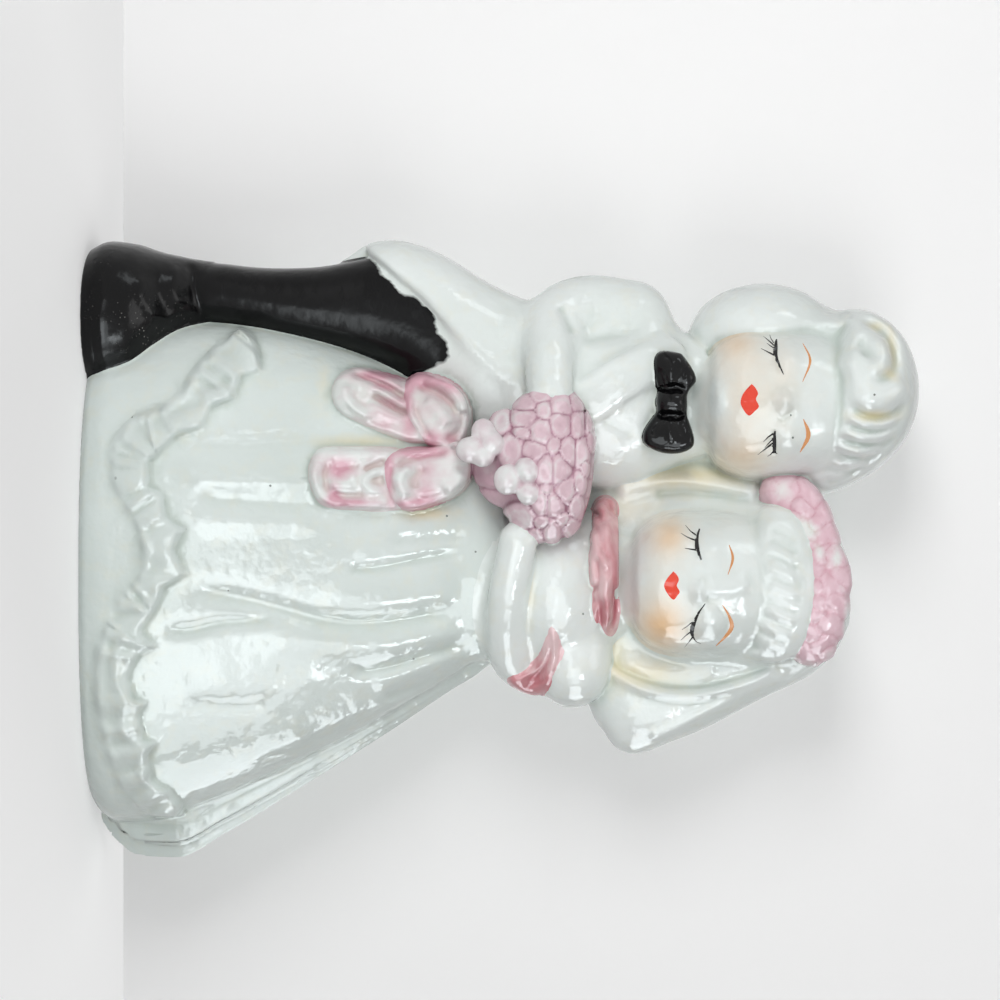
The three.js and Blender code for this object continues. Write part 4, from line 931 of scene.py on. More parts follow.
BOUQUET = np.array([-12.32, -13.2, 70.49])
BOUQUET_OUTLINE = [
    (-0.195, 0.555), (-0.19, 0.58), (-0.177, 0.602), (-0.16, 0.611), (-0.141, 0.614), (-0.12, 0.61),
    (-0.093, 0.608), (-0.065, 0.604), (-0.041, 0.6), (-0.022, 0.594), (-0.009, 0.582), (0.002, 0.566),
    (0.005, 0.548), (0.003, 0.528), (-0.009, 0.51), (-0.03, 0.496), (-0.045, 0.474), (-0.061, 0.46),
    (-0.09, 0.462), (-0.12, 0.458), (-0.15, 0.465), (-0.163, 0.482), (-0.177, 0.508), (-0.189, 0.532)]
ROSEBUDS = [
    # x, y and z from the bouquet in heads, then radii in millimetres
    (0.06, -0.225, -0.085, 1.9, 1.8, 1.8), (0.19, -0.21, -0.08, 1.8, 1.7, 1.7),
    (0.115, -0.21, -0.2, 2.3, 2.1, 2.1), (-0.1, -0.17, -0.3, 2.0, 1.8, 2.0),
    (-0.02, -0.18, -0.345, 1.8, 1.7, 1.8), (-0.06, -0.17, -0.42, 2.0, 2.1, 2.2),
    (-0.17, -0.15, -0.34, 2.0, 1.7, 1.9)]
BUD_SHIFT = np.array([-0.5, -0.55, -1.0])  # from the solids' places
BUD_NAMES = [f"rosebud_{number}" for number in range(1, len(ROSEBUDS) + 1)]
SWIRL_WIDE_SHARE = 0.011
SWIRL_TALL_SHARE = 0.01
SWIRL_TURN = 2.6
BOUQUET_PETALS = [
    # x, z, half width and half height
    (-0.146, 0.604, 0.012, 0.005), (-0.143, 0.59, 0.0135, 0.0065), (-0.11, 0.594, 0.0135, 0.007),
    (-0.111, 0.579, 0.0125, 0.008), (-0.143, 0.569, 0.0125, 0.0095), (-0.165, 0.571, 0.01, 0.01),
    (-0.17, 0.589, 0.01, 0.007), (-0.089, 0.57, 0.0155, 0.0085), (-0.087, 0.552, 0.0145, 0.008),
    (-0.135, 0.546, 0.0125, 0.011), (-0.112, 0.538, 0.009, 0.011), (-0.118, 0.562, 0.008, 0.006),
    (-0.15, 0.525, 0.0085, 0.0135), (-0.168, 0.527, 0.0075, 0.0105), (-0.159, 0.55, 0.0095, 0.007),
    (-0.177, 0.545, 0.007, 0.009), (-0.113, 0.512, 0.0165, 0.0105), (-0.133, 0.524, 0.006, 0.01),
    (-0.074, 0.592, 0.01, 0.0055), (-0.066, 0.576, 0.0125, 0.009), (-0.048, 0.563, 0.0105, 0.008),
    (-0.05, 0.546, 0.011, 0.007), (-0.068, 0.553, 0.006, 0.006), (-0.028, 0.547, 0.0055, 0.008),
    (-0.016, 0.559, 0.0115, 0.007), (-0.008, 0.537, 0.01, 0.0085), (-0.031, 0.572, 0.006, 0.006),
    (-0.045, 0.588, 0.012, 0.006), (-0.02, 0.584, 0.011, 0.007), (-0.186, 0.56, 0.005, 0.012),
    (-0.031, 0.521, 0.0125, 0.0145), (-0.012, 0.52, 0.007, 0.008), (-0.092, 0.598, 0.008, 0.004),
    (-0.125, 0.606, 0.01, 0.004), (-0.147, 0.5, 0.012, 0.009), (-0.09, 0.53, 0.012, 0.01)]
BOUQUET_PETAL = 0.85
BOUQUET_CUP = 0.3
BOUQUET_CREASE = 0.5
BOUQUET_RIM = 0.15
BOUQUET_BLEND = 2.0
PETAL_CURVE = 0.22
CREASE_FADE = 2.5  # in millimetres from the outline
# Places and widths from the middle of a petal, in half widths of it
PETAL_REACH = 1.9
PETAL_EDGE = 0.4
CUP_WIDTH = 0.55
CREASE_WIDTH = 0.17
RIM_PLACE = 1.75
RIM_WIDTH = 0.2


def bouquet_map(u, w):
    """How far each place is from the middle of its petal, where 1 is the edge, and the next petal's lead"""
    first = np.full(np.broadcast(u, w).shape, HUGE)
    second = first.copy()
    for cx, cz, half_width, half_height in BOUQUET_PETALS:
        away = np.hypot((u / TALL - cx) / half_width, (w / TALL - cz) / half_height)
        second = np.minimum(second, np.maximum(first, away))
        first = np.minimum(first, away)
    return first, second - first


def bump(value, middle, width):
    """One at the middle, fading over a width to both sides"""
    return np.exp(-((value - middle) / width) ** 2)


def bouquet_relief(x, y, z):
    """Cupped petals and the creases between them"""
    u, w = x[:, :, 0], z[0]
    off_middle, lead = bouquet_map(u, w)
    petal = ease((PETAL_REACH - off_middle) / PETAL_EDGE)
    petal *= np.sqrt(np.clip(1 - PETAL_CURVE * off_middle ** 2, 0, 1))
    petal -= BOUQUET_CUP * bump(off_middle, 0, CUP_WIDTH)
    away = opening(BOUQUET_OUTLINE, u, w)
    crease = BOUQUET_CREASE * bump(lead, 0, CREASE_WIDTH)
    crease += BOUQUET_RIM * bump(off_middle, RIM_PLACE, RIM_WIDTH)
    crease *= ease(-away / CREASE_FADE)
    lift = BOUQUET_PETAL * petal - crease - BOUQUET_CREASE - np.maximum(away, 0)
    return lift[:, None, :] * front_weight(y, -13.0, -8.0)


BOUQUET_BLOBS = [(0, 0, 0, 0.47, 0.24, 0.3), (-0.02, 0.02, -0.26, 0.3, 0.19, 0.22),
                 (0, -0.06, -0.02, 0.42, 0.2, 0.26)]
shape_clay("bouquet", head_blobs(BOUQUET, BOUQUET_BLOBS), BOUQUET_BLEND, relief=bouquet_relief)
for number, (name, (x, y, z, *radii)) in enumerate(zip(BUD_NAMES, ROSEBUDS), 1):
    middle = BOUQUET + HEAD * np.array((x, y, z)) + BUD_SHIFT
    swirl = [(middle[0] / TALL + SWIRL_WIDE_SHARE * math.cos(a),
              middle[2] / TALL + SWIRL_TALL_SHARE * math.sin(a))
             for a in np.linspace(number, number + SWIRL_TURN, 5)]
    shape_clay(name, [ellipsoid(middle, radii)], relief=front_relief([(swirl, 0.5, -0.25)], -13.0, -10.0))

# Bow and its tails, laid on the skirt
LOOP_LEFT = [
    (-0.125, 0.455), (-0.145, 0.462), (-0.165, 0.461), (-0.182, 0.454), (-0.196, 0.44), (-0.205, 0.42),
    (-0.208, 0.4), (-0.203, 0.385), (-0.19, 0.379), (-0.17, 0.381), (-0.152, 0.386), (-0.135, 0.397),
    (-0.12, 0.41), (-0.115, 0.435)]
LOOP_RIGHT = [
    (-0.128, 0.445), (-0.124, 0.458), (-0.107, 0.464), (-0.09, 0.465), (-0.072, 0.458), (-0.057, 0.442),
    (-0.048, 0.42), (-0.042, 0.4), (-0.042, 0.383), (-0.052, 0.37), (-0.072, 0.361), (-0.095, 0.359),
    (-0.11, 0.366), (-0.116, 0.385), (-0.119, 0.42)]
TAIL_LEFT = [
    (-0.122, 0.41), (-0.16, 0.405), (-0.19, 0.395), (-0.202, 0.378), (-0.21, 0.35), (-0.214, 0.325),
    (-0.207, 0.306), (-0.19, 0.297), (-0.172, 0.298), (-0.158, 0.308), (-0.146, 0.33), (-0.135, 0.355),
    (-0.124, 0.385)]
TAIL_RIGHT = [
    (-0.112, 0.4), (-0.117, 0.365), (-0.1185, 0.33), (-0.1175, 0.3), (-0.115, 0.284), (-0.106, 0.276),
    (-0.09, 0.271), (-0.07, 0.274), (-0.053, 0.282), (-0.0455, 0.295), (-0.0425, 0.32), (-0.041, 0.36),
    (-0.047, 0.39), (-0.07, 0.4)]
LOOP_LEFT_FOLDS = [
    ([(-0.122, 0.43), (-0.14, 0.452), (-0.165, 0.452)], 0.8, -0.8),
    ([(-0.14, 0.437), (-0.16, 0.425), (-0.178, 0.405)], 1.2, 0.7),
    ([(-0.18, 0.448), (-0.192, 0.43), (-0.197, 0.405)], 1.0, 0.45),
    ([(-0.15, 0.447), (-0.172, 0.437), (-0.187, 0.415), (-0.19, 0.395)], 0.6, -0.6),
    ([(-0.12, 0.418), (-0.145, 0.402), (-0.17, 0.39)], 0.6, -0.75),
    ([(-0.13, 0.405), (-0.155, 0.392), (-0.185, 0.386)], 0.7, 0.5)]
LOOP_RIGHT_FOLDS = [
    ([(-0.113, 0.442), (-0.107, 0.41), (-0.1, 0.385), (-0.09, 0.375)], 0.7, -0.8),
    ([(-0.095, 0.395), (-0.085, 0.382), (-0.07, 0.381), (-0.056, 0.392)], 1.0, 0.95),
    ([(-0.095, 0.41), (-0.08, 0.398), (-0.065, 0.398)], 0.9, -0.55),
    ([(-0.1, 0.37), (-0.078, 0.367), (-0.058, 0.375)], 0.5, -0.45),
    ([(-0.053, 0.395), (-0.055, 0.42), (-0.065, 0.44)], 0.6, -0.5),
    ([(-0.09, 0.452), (-0.075, 0.445), (-0.064, 0.43)], 1.4, 0.5),
    ([(-0.122, 0.452), (-0.114, 0.45)], 1.6, 1.6)]
TAIL_LEFT_FOLDS = [
    ([(-0.18, 0.388), (-0.197, 0.36), (-0.206, 0.335)], 0.7, 0.5),
    ([(-0.172, 0.388), (-0.19, 0.362), (-0.204, 0.33), (-0.208, 0.318)], 0.5, -0.75),
    ([(-0.163, 0.388), (-0.18, 0.362), (-0.196, 0.333)], 0.7, 0.7),
    ([(-0.155, 0.388), (-0.168, 0.365), (-0.182, 0.342)], 0.55, -0.85),
    ([(-0.147, 0.388), (-0.158, 0.36), (-0.17, 0.338)], 0.7, 0.4),
    ([(-0.15, 0.348), (-0.162, 0.325), (-0.178, 0.314), (-0.195, 0.314)], 0.9, 0.75),
    ([(-0.14, 0.37), (-0.152, 0.33), (-0.168, 0.308)], 0.5, -0.45)]
TAIL_RIGHT_FOLDS = [
    ([(-0.112, 0.375), (-0.113, 0.335), (-0.11, 0.29)], 0.8, 0.4),
    ([(-0.1, 0.365), (-0.094, 0.345), (-0.088, 0.335)], 0.5, -0.6),
    ([(-0.09, 0.365), (-0.085, 0.345), (-0.076, 0.337), (-0.066, 0.345), (-0.064, 0.362)], 0.6, 0.5),
    ([(-0.08, 0.362), (-0.077, 0.35), (-0.073, 0.362)], 0.6, -0.5),
    ([(-0.095, 0.335), (-0.092, 0.315), (-0.09, 0.3)], 0.6, -0.4),
    ([(-0.075, 0.33), (-0.072, 0.31), (-0.074, 0.295)], 0.9, 0.5),
    ([(-0.06, 0.34), (-0.058, 0.315), (-0.063, 0.298)], 0.5, -0.55),
    ([(-0.05, 0.365), (-0.049, 0.335), (-0.052, 0.31)], 0.6, 0.4),
    ([(-0.1, 0.297), (-0.08, 0.29), (-0.06, 0.297)], 0.6, -0.5),
    ([(-0.102, 0.284), (-0.085, 0.279), (-0.068, 0.286)], 0.9, 0.45)]
LOOP_DEEP = 2.47
RIBBON_TAIL_DEEP = 1.52
RIBBON_EDGE = 1.1
RIBBON_FOLD = 1.3
RIBBON_STANDS_SHARE = 0.37  # above this the bow stands further out, towards the bouquet
RIBBON_STANDS = 2.4


def ribbon_clay(name, outline, folds, deep):
    """A rounded ribbon with folds, laid on the skirt"""
    def thickness(x, z, away):
        edge = np.clip(-away / RIBBON_EDGE, 0, 1)
        stands = RIBBON_STANDS * ease((z / TALL - RIBBON_STANDS_SHARE) / 0.1)
        body = (deep + stands) * np.sqrt(edge * (2 - edge))
        return body + RIBBON_FOLD * ease(-away / EDGE_WIDTH) * sum(stroke(x, z, *line) for line in folds)
    laid_on(name, ["skirt", "trousers"], closed_line(outline), thickness, -5.0, -1.0)


ribbon_clay("bow_tail_left", TAIL_LEFT, TAIL_LEFT_FOLDS, RIBBON_TAIL_DEEP)
ribbon_clay("bow_tail_right", TAIL_RIGHT, TAIL_RIGHT_FOLDS, RIBBON_TAIL_DEEP)
ribbon_clay("bow_loop_left", LOOP_LEFT, LOOP_LEFT_FOLDS, LOOP_DEEP)
ribbon_clay("bow_loop_right", LOOP_RIGHT, LOOP_RIGHT_FOLDS, LOOP_DEEP)

# One skin over all elements, with soft glaze in the joints

# Radii in millimetres over which an element's edge melts into the others
FILLETS = {
    "bouquet": 0.5, "flower_headpiece": 0.5, "bow_tie": 0.3, "hem_ruffle": 0.3, "collar": 0.5,
    "arm_band": 0.2, "groom_hair": 1.0, "bride_hair": 1.0, "trousers": 0.7, "shoe": 0.7,
    "tailcoat": 1.6, "groom_sleeve": 2.0, "coat_lapel": 1.4, "bodice": 2.2, "puff_sleeve": 2.2,
    "bride_arm": 1.8, **dict.fromkeys(BUD_NAMES, 0.45)}
USUAL_FILLET = 0.9
CAVITY_FOOT = 4.0  # how far the hollow reaches below the foot, to open it


def whole_skin():
    """The distance to all the clay less the hollow of the skirt, and the distance to the hollow"""
    whole = np.full(tuple(GRID_COUNTS), FAR, np.float32)
    for name, (cut, body) in CLAY.items():
        whole[cut] = soft_min(whole[cut], body, FILLETS.get(name, USUAL_FILLET))
    whole = np.maximum(whole, -AXES[2][None, None, :])
    rows = dress_rows([row for row in SKIRT_ROW_SHARES if row[0] <= CAVITY_TOP_SHARE], CAST_WALL)
    rows[0] = (rows[0][0] - CAVITY_FOOT, *rows[0][1:])
    low, high, distance = stack(rows, SKIRT_CORNER)
    cut, places = window(low, high)
    hollow = np.full_like(whole, FAR)
    hollow[cut] = distance(*places)
    return np.maximum(whole, -hollow), hollow


def box_blur(field, reach):
    """The mean over a cube, one axis after another"""
    out = field
    for axis in range(3):
        total = out.copy()
        for step in range(1, reach + 1):
            total += np.roll(out, step, axis) + np.roll(out, -step, axis)
        out = total / (2 * reach + 1)
    return out


def sample(field, places, start=(0, 0, 0)):
    """Trilinear values of a grid, or of a part of it that starts at some cell"""
    g = (places - GRID_LOW) / PITCH - np.asarray(start)
    g = np.clip(g, 0, np.array(field.shape) - JUST_INSIDE)
    i = g.astype(int)
    f = (g - i).astype(np.float32)
    out = 0
    for dx in (0, 1):
        for dy in (0, 1):
            for dz in (0, 1):
                weight = np.abs(1 - dx - f[:, 0]) * np.abs(1 - dy - f[:, 1]) * np.abs(1 - dz - f[:, 2])
                out = out + weight * field[i[:, 0] + dx, i[:, 1] + dy, i[:, 2] + dz]
    return out


def slope(field, places, start=(0, 0, 0)):
    """The gradient of a grid at some places"""
    shifts = PITCH * np.eye(3)
    parts = [sample(field, places + shift, start) - sample(field, places - shift, start) for shift in shifts]
    return np.stack(parts, 1) / (2 * PITCH)


SKIN_THINNING = 0.015
skin, cavity = whole_skin()
thin_skin = np.clip(skin, -SKIN_REACH, SKIN_REACH)
grid = openvdb.FloatGrid(SKIN_REACH)
grid.copyFromArray(np.ascontiguousarray(thin_skin))
points, triangles, quads = grid.convertToPolygons(0.0, SKIN_THINNING)
points = np.asarray(points, float) * PITCH + GRID_LOW
quads = np.asarray(quads, int)
faces = np.vstack([np.asarray(triangles, int).reshape(-1, 3), quads[:, [0, 1, 2]], quads[:, [0, 2, 3]]])

# Which element each face belongs to. The inside of the foot is the skirt's.
CAVITY_NEAR = 0.8
CAVITY_DEEP = 1.5
names = list(CLAY)
skirt_column = names.index("skirt")
distances = np.full((len(points), len(names)), FAR, np.float32)
for column, name in enumerate(names):
    cut, body = CLAY[name]
    start = np.array([s.start for s in cut])
    cell = (points - GRID_LOW) / PITCH - start
    near = np.all((cell >= 0) & (cell <= np.array(body.shape) - 1), axis=1)
    distances[near, column] = sample(body, points[near], start)
in_cavity = (sample(cavity, points) < CAVITY_NEAR) & (distances[:, skirt_column] < -CAVITY_DEEP)
distances[in_cavity, skirt_column] = -FAR
face_owner = distances[faces].mean(1).argmin(1)

# How deep in a hollow each point lies. The glazes darken there toward their pooled colour: partly glaze
# pooling, partly painted shade in the recesses.
POOL_AND_SHADE_CELLS = 3
POOL_AND_SHADE_DEPTH = 0.35
normals = slope(skin, points)
normals /= np.maximum(np.linalg.norm(normals, axis=1, keepdims=True), TINY)
hollowness = np.clip(-sample(box_blur(thin_skin, POOL_AND_SHADE_CELLS), points) / POOL_AND_SHADE_DEPTH, 0, 1)

# Snap the borders between elements onto the line where both are equally near
first_owner = np.full(len(points), -1)
second_owner = np.full(len(points), -1)
for corner in range(3):
    v = faces[:, corner]
    fresh = first_owner[v] < 0
    first_owner[v[fresh]] = face_owner[fresh]
for corner in range(3):
    v = faces[:, corner]
    other = face_owner != first_owner[v]
    second_owner[v[other]] = face_owner[other]
border = np.flatnonzero(second_owner >= 0)


def element_values(which, places, function):
    """A value of each place's own element"""
    out = None
    for column in np.unique(which):
        rows = which == column
        cut, body = CLAY[names[column]]
        value = function(body, places[rows], np.array([s.start for s in cut]))
        if out is None:
            out = np.zeros((len(places), *value.shape[1:]))
        out[rows] = value
    return out


SNAP_ROUNDS = 2
SNAP_SHARE = 0.45  # of a cell, the most that a point moves in a round
LEAST_LEAN = 0.05
for _ in range(SNAP_ROUNDS):
    spots = points[border]
    first, second = first_owner[border], second_owner[border]
    gap = element_values(first, spots, sample) - element_values(second, spots, sample)
    lean = element_values(first, spots, slope) - element_values(second, spots, slope)
    n = normals[border]
    lean -= (lean * n).sum(1, keepdims=True) * n
    move = -gap[:, None] * lean / np.maximum((lean * lean).sum(1, keepdims=True), LEAST_LEAN)
    long = np.linalg.norm(move, axis=1, keepdims=True)
    move *= np.minimum(1, SNAP_SHARE * PITCH / np.maximum(long, TINY))
    points[border] += move

# How far behind the skin the pieces' inner wall lies, less where the clay is thin
WALL = 0.8
LEAST_WALL = 0.12
WALL_SHARE = 0.9
WALL_STEPS = (0.3, 0.6, 0.9, 1.2)
depth = np.zeros(len(points))
for step in WALL_STEPS:
    depth = np.minimum(depth, sample(skin, points - normals * step))
depth = np.clip(-depth * WALL_SHARE, LEAST_WALL, WALL)


# Materials

def nodes_of(name):
    """A new material, its empty node tree and its output"""
    material = bpy.data.materials.new(name)
    material.use_nodes = True
    tree = material.node_tree
    tree.nodes.clear()
    out = tree.nodes.new("ShaderNodeOutputMaterial")
    return material, tree, out


def rgb(red, green, blue):
    """Linear colour from screen values out of 255"""
    def linear(value):
        value /= 255
        return value / 12.92 if value <= 0.04045 else ((value + 0.055) / 1.055) ** 2.4
    return (linear(red), linear(green), linear(blue), 1.0)


def mix_colour(tree, factor, a, b):
    """A colour between two colours or sockets"""
    node = tree.nodes.new("ShaderNodeMix")
    node.data_type = "RGBA"
    for socket, value in ((node.inputs[0], factor), (node.inputs[6], a), (node.inputs[7], b)):
        if isinstance(value, bpy.types.NodeSocket):
            tree.links.new(value, socket)
        else:
            socket.default_value = value
    return node.outputs[2]


def noise(tree, place, scale, detail=3.0):
    """A soft pattern with a scale in patterns to a metre"""
    node = tree.nodes.new("ShaderNodeTexNoise")
    node.inputs["Scale"].default_value = scale
    node.inputs["Detail"].default_value = detail
    tree.links.new(place, node.inputs["Vector"])
    return node.outputs["Fac"]


def ramp(tree, value, low, high, to_low=0.0, to_high=1.0):
    """A value taken from one range to another and held inside it"""
    node = tree.nodes.new("ShaderNodeMapRange")
    tree.links.new(value, node.inputs[0])
    for socket, number in zip(node.inputs[1:5], (low, high, to_low, to_high)):
        socket.default_value = number
    return node.outputs[0]


def calculate(tree, a, b, operation="MULTIPLY"):
    """An operation on two values or sockets"""
    node = tree.nodes.new("ShaderNodeMath")
    node.operation = operation
    for socket, value in zip(node.inputs, (a, b)):
        if isinstance(value, bpy.types.NodeSocket):
            tree.links.new(value, socket)
        else:
            socket.default_value = value
    return node.outputs[0]


def attribute(tree, name):
    """The number a mesh carries under a name"""
    node = tree.nodes.new("ShaderNodeAttribute")
    node.attribute_name = name
    return node.outputs["Fac"]


def stretched(tree, place, stretch):
    """A place scaled along each axis"""
    node = tree.nodes.new("ShaderNodeMapping")
    tree.links.new(place, node.inputs["Vector"])
    node.inputs["Scale"].default_value = stretch
    return node.outputs[0]


WHITE = rgb(230, 236, 234)
# A darker copy of WHITE for the skirt, train and ruffle: painted shade on the lower part of the figure
SHADED_DRESS_WHITE = rgb(215, 224, 221)
# Pooled colour of the white glazes, which also paints shade in hollows
POOLED_AND_SHADED_GREEN = rgb(190, 201, 194)
SPECK_GREY = rgb(90, 95, 90)
DUST_GREY = rgb(150, 150, 145)
SOFT = (0.0, 1.0)  # amounts of tint over which the second colour comes in
BRUSHED = (0.15, 0.85)
CRISP = (0.44, 0.56)
MOST_OF_NOISE = (0.3, 0.7)
LEAST_POOL_AND_SHADE = 0.6
DRIFT_RANGE = (0.35, 0.7)
DRIFT_SHARE = 0.3
BRUSH_RANGE = (0.35, 0.75)
BRUSH_SHARE = 0.35
PINHOLE_RADII = (0.02, 0.03)  # shares of a cell where a dot is full and where it ends
DUST_RADII = (0.08, 0.22)
DUST_PATCH_RANGE = (0.4, 0.65)
POOL_AND_SHADE_SCALE = 220  # this and the scales below are in patterns to a metre
DRIFT_SCALE = 60
BRUSH_SCALE = 420
ROUGH_SCALE = 150
WAVE_SCALE = 120
RIPPLE_SCALE = 480
PINHOLE_SCALE = 55
DUST_SCALE = 1500
DUST_PATCH_SCALE = 300
RIPPLE_SHARE = 0.16
WAVE_HEIGHT = 0.6 * MM
PINHOLE_STRENGTH = 0.75
GLAZE_REFRACTION = 1.5


def dots(tree, place, scale, radii):
    """One in small round dots, zero between them"""
    cells = tree.nodes.new("ShaderNodeTexVoronoi")
    cells.inputs["Scale"].default_value = scale
    tree.links.new(place, cells.inputs["Vector"])
    return ramp(tree, cells.outputs["Distance"], *radii, 1.0, 0.0)


def glaze(name, colour, pooled_and_shaded, over=None, over_pooled_and_shaded=None, edge=SOFT, ragged=0.1, strokes=(1, 1, 1),
          pinholes=True, waves=0.75, speckles=False, rough=(0.06, 0.13), refraction=GLAZE_REFRACTION):
    """Glossy glaze: colour darkens in hollows, partly as glaze pooling and partly as painted shade, and
    drifts slowly, with waves and a few pinholes.
    A second colour lies over it by the tint of each place, with brush marks along its strokes."""
    material, tree, out = nodes_of(name)
    place = tree.nodes.new("ShaderNodeTexCoord").outputs["Object"]
    shader = tree.nodes.new("ShaderNodeBsdfPrincipled")
    uneven = ramp(tree, noise(tree, place, POOL_AND_SHADE_SCALE), *MOST_OF_NOISE, LEAST_POOL_AND_SHADE)
    # Painted shade: darker toward the pooled colour the deeper a place lies in a hollow, partly glaze
    # pooling
    pool_and_shade = calculate(tree, attribute(tree, "hollow"), uneven)
    drift = ramp(tree, noise(tree, place, DRIFT_SCALE, detail=2.0), *DRIFT_RANGE, to_high=DRIFT_SHARE)
    base = mix_colour(tree, drift, mix_colour(tree, pool_and_shade, colour, pooled_and_shaded), pooled_and_shaded)
    if over:
        brush = noise(tree, stretched(tree, place, strokes), BRUSH_SCALE)
        paint = mix_colour(tree, pool_and_shade, over, over_pooled_and_shaded)
        marks = ramp(tree, brush, *BRUSH_RANGE, to_high=BRUSH_SHARE)
        paint = mix_colour(tree, marks, paint, over_pooled_and_shaded)
        torn = ramp(tree, brush, *MOST_OF_NOISE, -ragged, ragged)
        amount = calculate(tree, attribute(tree, "tint"), torn, "ADD")
        base = mix_colour(tree, ramp(tree, amount, *edge), base, paint)
    if pinholes:
        holes = calculate(tree, dots(tree, place, PINHOLE_SCALE, PINHOLE_RADII), PINHOLE_STRENGTH)
        base = mix_colour(tree, holes, base, SPECK_GREY)
    if speckles:
        patches = ramp(tree, noise(tree, place, DUST_PATCH_SCALE), *DUST_PATCH_RANGE)
        dusty = calculate(tree, attribute(tree, "tint"), patches)
        grains = calculate(tree, dots(tree, place, DUST_SCALE, DUST_RADII), dusty)
        base = mix_colour(tree, grains, base, DUST_GREY)
    tree.links.new(base, shader.inputs["Base Color"])
    roughness = ramp(tree, noise(tree, place, ROUGH_SCALE), *MOST_OF_NOISE, *rough)
    tree.links.new(roughness, shader.inputs["Roughness"])
    shader.inputs["IOR"].default_value = refraction
    wave = tree.nodes.new("ShaderNodeBump")
    wave.inputs["Strength"].default_value = waves
    wave.inputs["Distance"].default_value = WAVE_HEIGHT
    ripple = calculate(tree, noise(tree, place, RIPPLE_SCALE), RIPPLE_SHARE)
    height = calculate(tree, noise(tree, place, WAVE_SCALE, detail=3.5), ripple, "ADD")
    tree.links.new(height, wave.inputs["Height"])
    tree.links.new(wave.outputs[0], shader.inputs["Normal"])
    tree.links.new(shader.outputs[0], out.inputs[0])
    return material


BLACK = rgb(8, 8, 9)
# Pooled colours, which also paint shade in hollows
BLACK_POOLED_AND_SHADED = rgb(4, 4, 5)
CREAM = rgb(236, 222, 184)
CREAM_POOLED_AND_SHADED = rgb(214, 204, 160)
white_glaze = glaze("white_glaze", WHITE, POOLED_AND_SHADED_GREEN, CREAM, CREAM_POOLED_AND_SHADED)
shaded_dress_glaze = glaze("shaded_dress_glaze", SHADED_DRESS_WHITE, POOLED_AND_SHADED_GREEN, CREAM, CREAM_POOLED_AND_SHADED)
face_glaze = glaze("face_glaze", WHITE, POOLED_AND_SHADED_GREEN, rgb(236, 200, 158), rgb(224, 180, 130), ragged=0.04,
                   rough=(0.12, 0.2))
black_enamel = glaze("black_enamel", BLACK, BLACK_POOLED_AND_SHADED, pinholes=False, waves=0.4, refraction=1.35)
shoe_enamel = glaze("shoe_enamel", BLACK, BLACK_POOLED_AND_SHADED, pinholes=False, waves=0.4, speckles=True,
                    rough=(0.14, 0.24), refraction=1.3)
trouser_enamel = glaze("trouser_enamel", WHITE, POOLED_AND_SHADED_GREEN, BLACK, BLACK_POOLED_AND_SHADED, CRISP, 0.14, (1, 1, 0.5),
                       pinholes=False, waves=0.4, rough=(0.16, 0.24), refraction=1.3)
mauve_glaze = glaze("mauve_glaze", WHITE, rgb(200, 160, 172), rgb(222, 196, 204), rgb(160, 112, 131),
                    BRUSHED, 0.2, pinholes=False)
ribbon_glaze = glaze("ribbon_glaze", WHITE, rgb(204, 196, 190), rgb(216, 172, 184), rgb(192, 138, 152),
                     BRUSHED, 0.15, (1, 1, 0.6), pinholes=False)
rose_glaze = glaze("rose_glaze", rgb(228, 198, 200), rgb(208, 158, 163), rgb(204, 138, 144),
                   rgb(184, 102, 113), BRUSHED, 0.3, (0.35, 1, 1.2), pinholes=False)
pale_pink_glaze = glaze("pale_pink_glaze", WHITE, rgb(206, 190, 180), rgb(226, 196, 205),
                        rgb(198, 141, 155), BRUSHED, 0.2, pinholes=False)

BOW_NAMES = ["bow_loop_left", "bow_loop_right", "bow_tail_left", "bow_tail_right"]
SLOTS = {
    **dict.fromkeys(["shoe", "trousers", "bow_tie"], "black_enamel"),
    **dict.fromkeys(["bouquet", *BOW_NAMES], "mauve_glaze"),
    **dict.fromkeys(["collar", "arm_band"], "rose_glaze"), "flower_headpiece": "pale_pink_glaze"}
FINISHES = {
    "shoe": shoe_enamel, "trousers": trouser_enamel, "bow_tie": black_enamel,
    "flower_headpiece": pale_pink_glaze, **dict.fromkeys(["collar", "arm_band"], rose_glaze),
    **dict.fromkeys(["groom_head", "bride_head"], face_glaze),
    **dict.fromkeys(["skirt", "train", "hem_ruffle"], shaded_dress_glaze),
    **dict.fromkeys(["bouquet", *BUD_NAMES], mauve_glaze), **dict.fromkeys(BOW_NAMES, ribbon_glaze)}

# Tints: how much of the second colour each place has

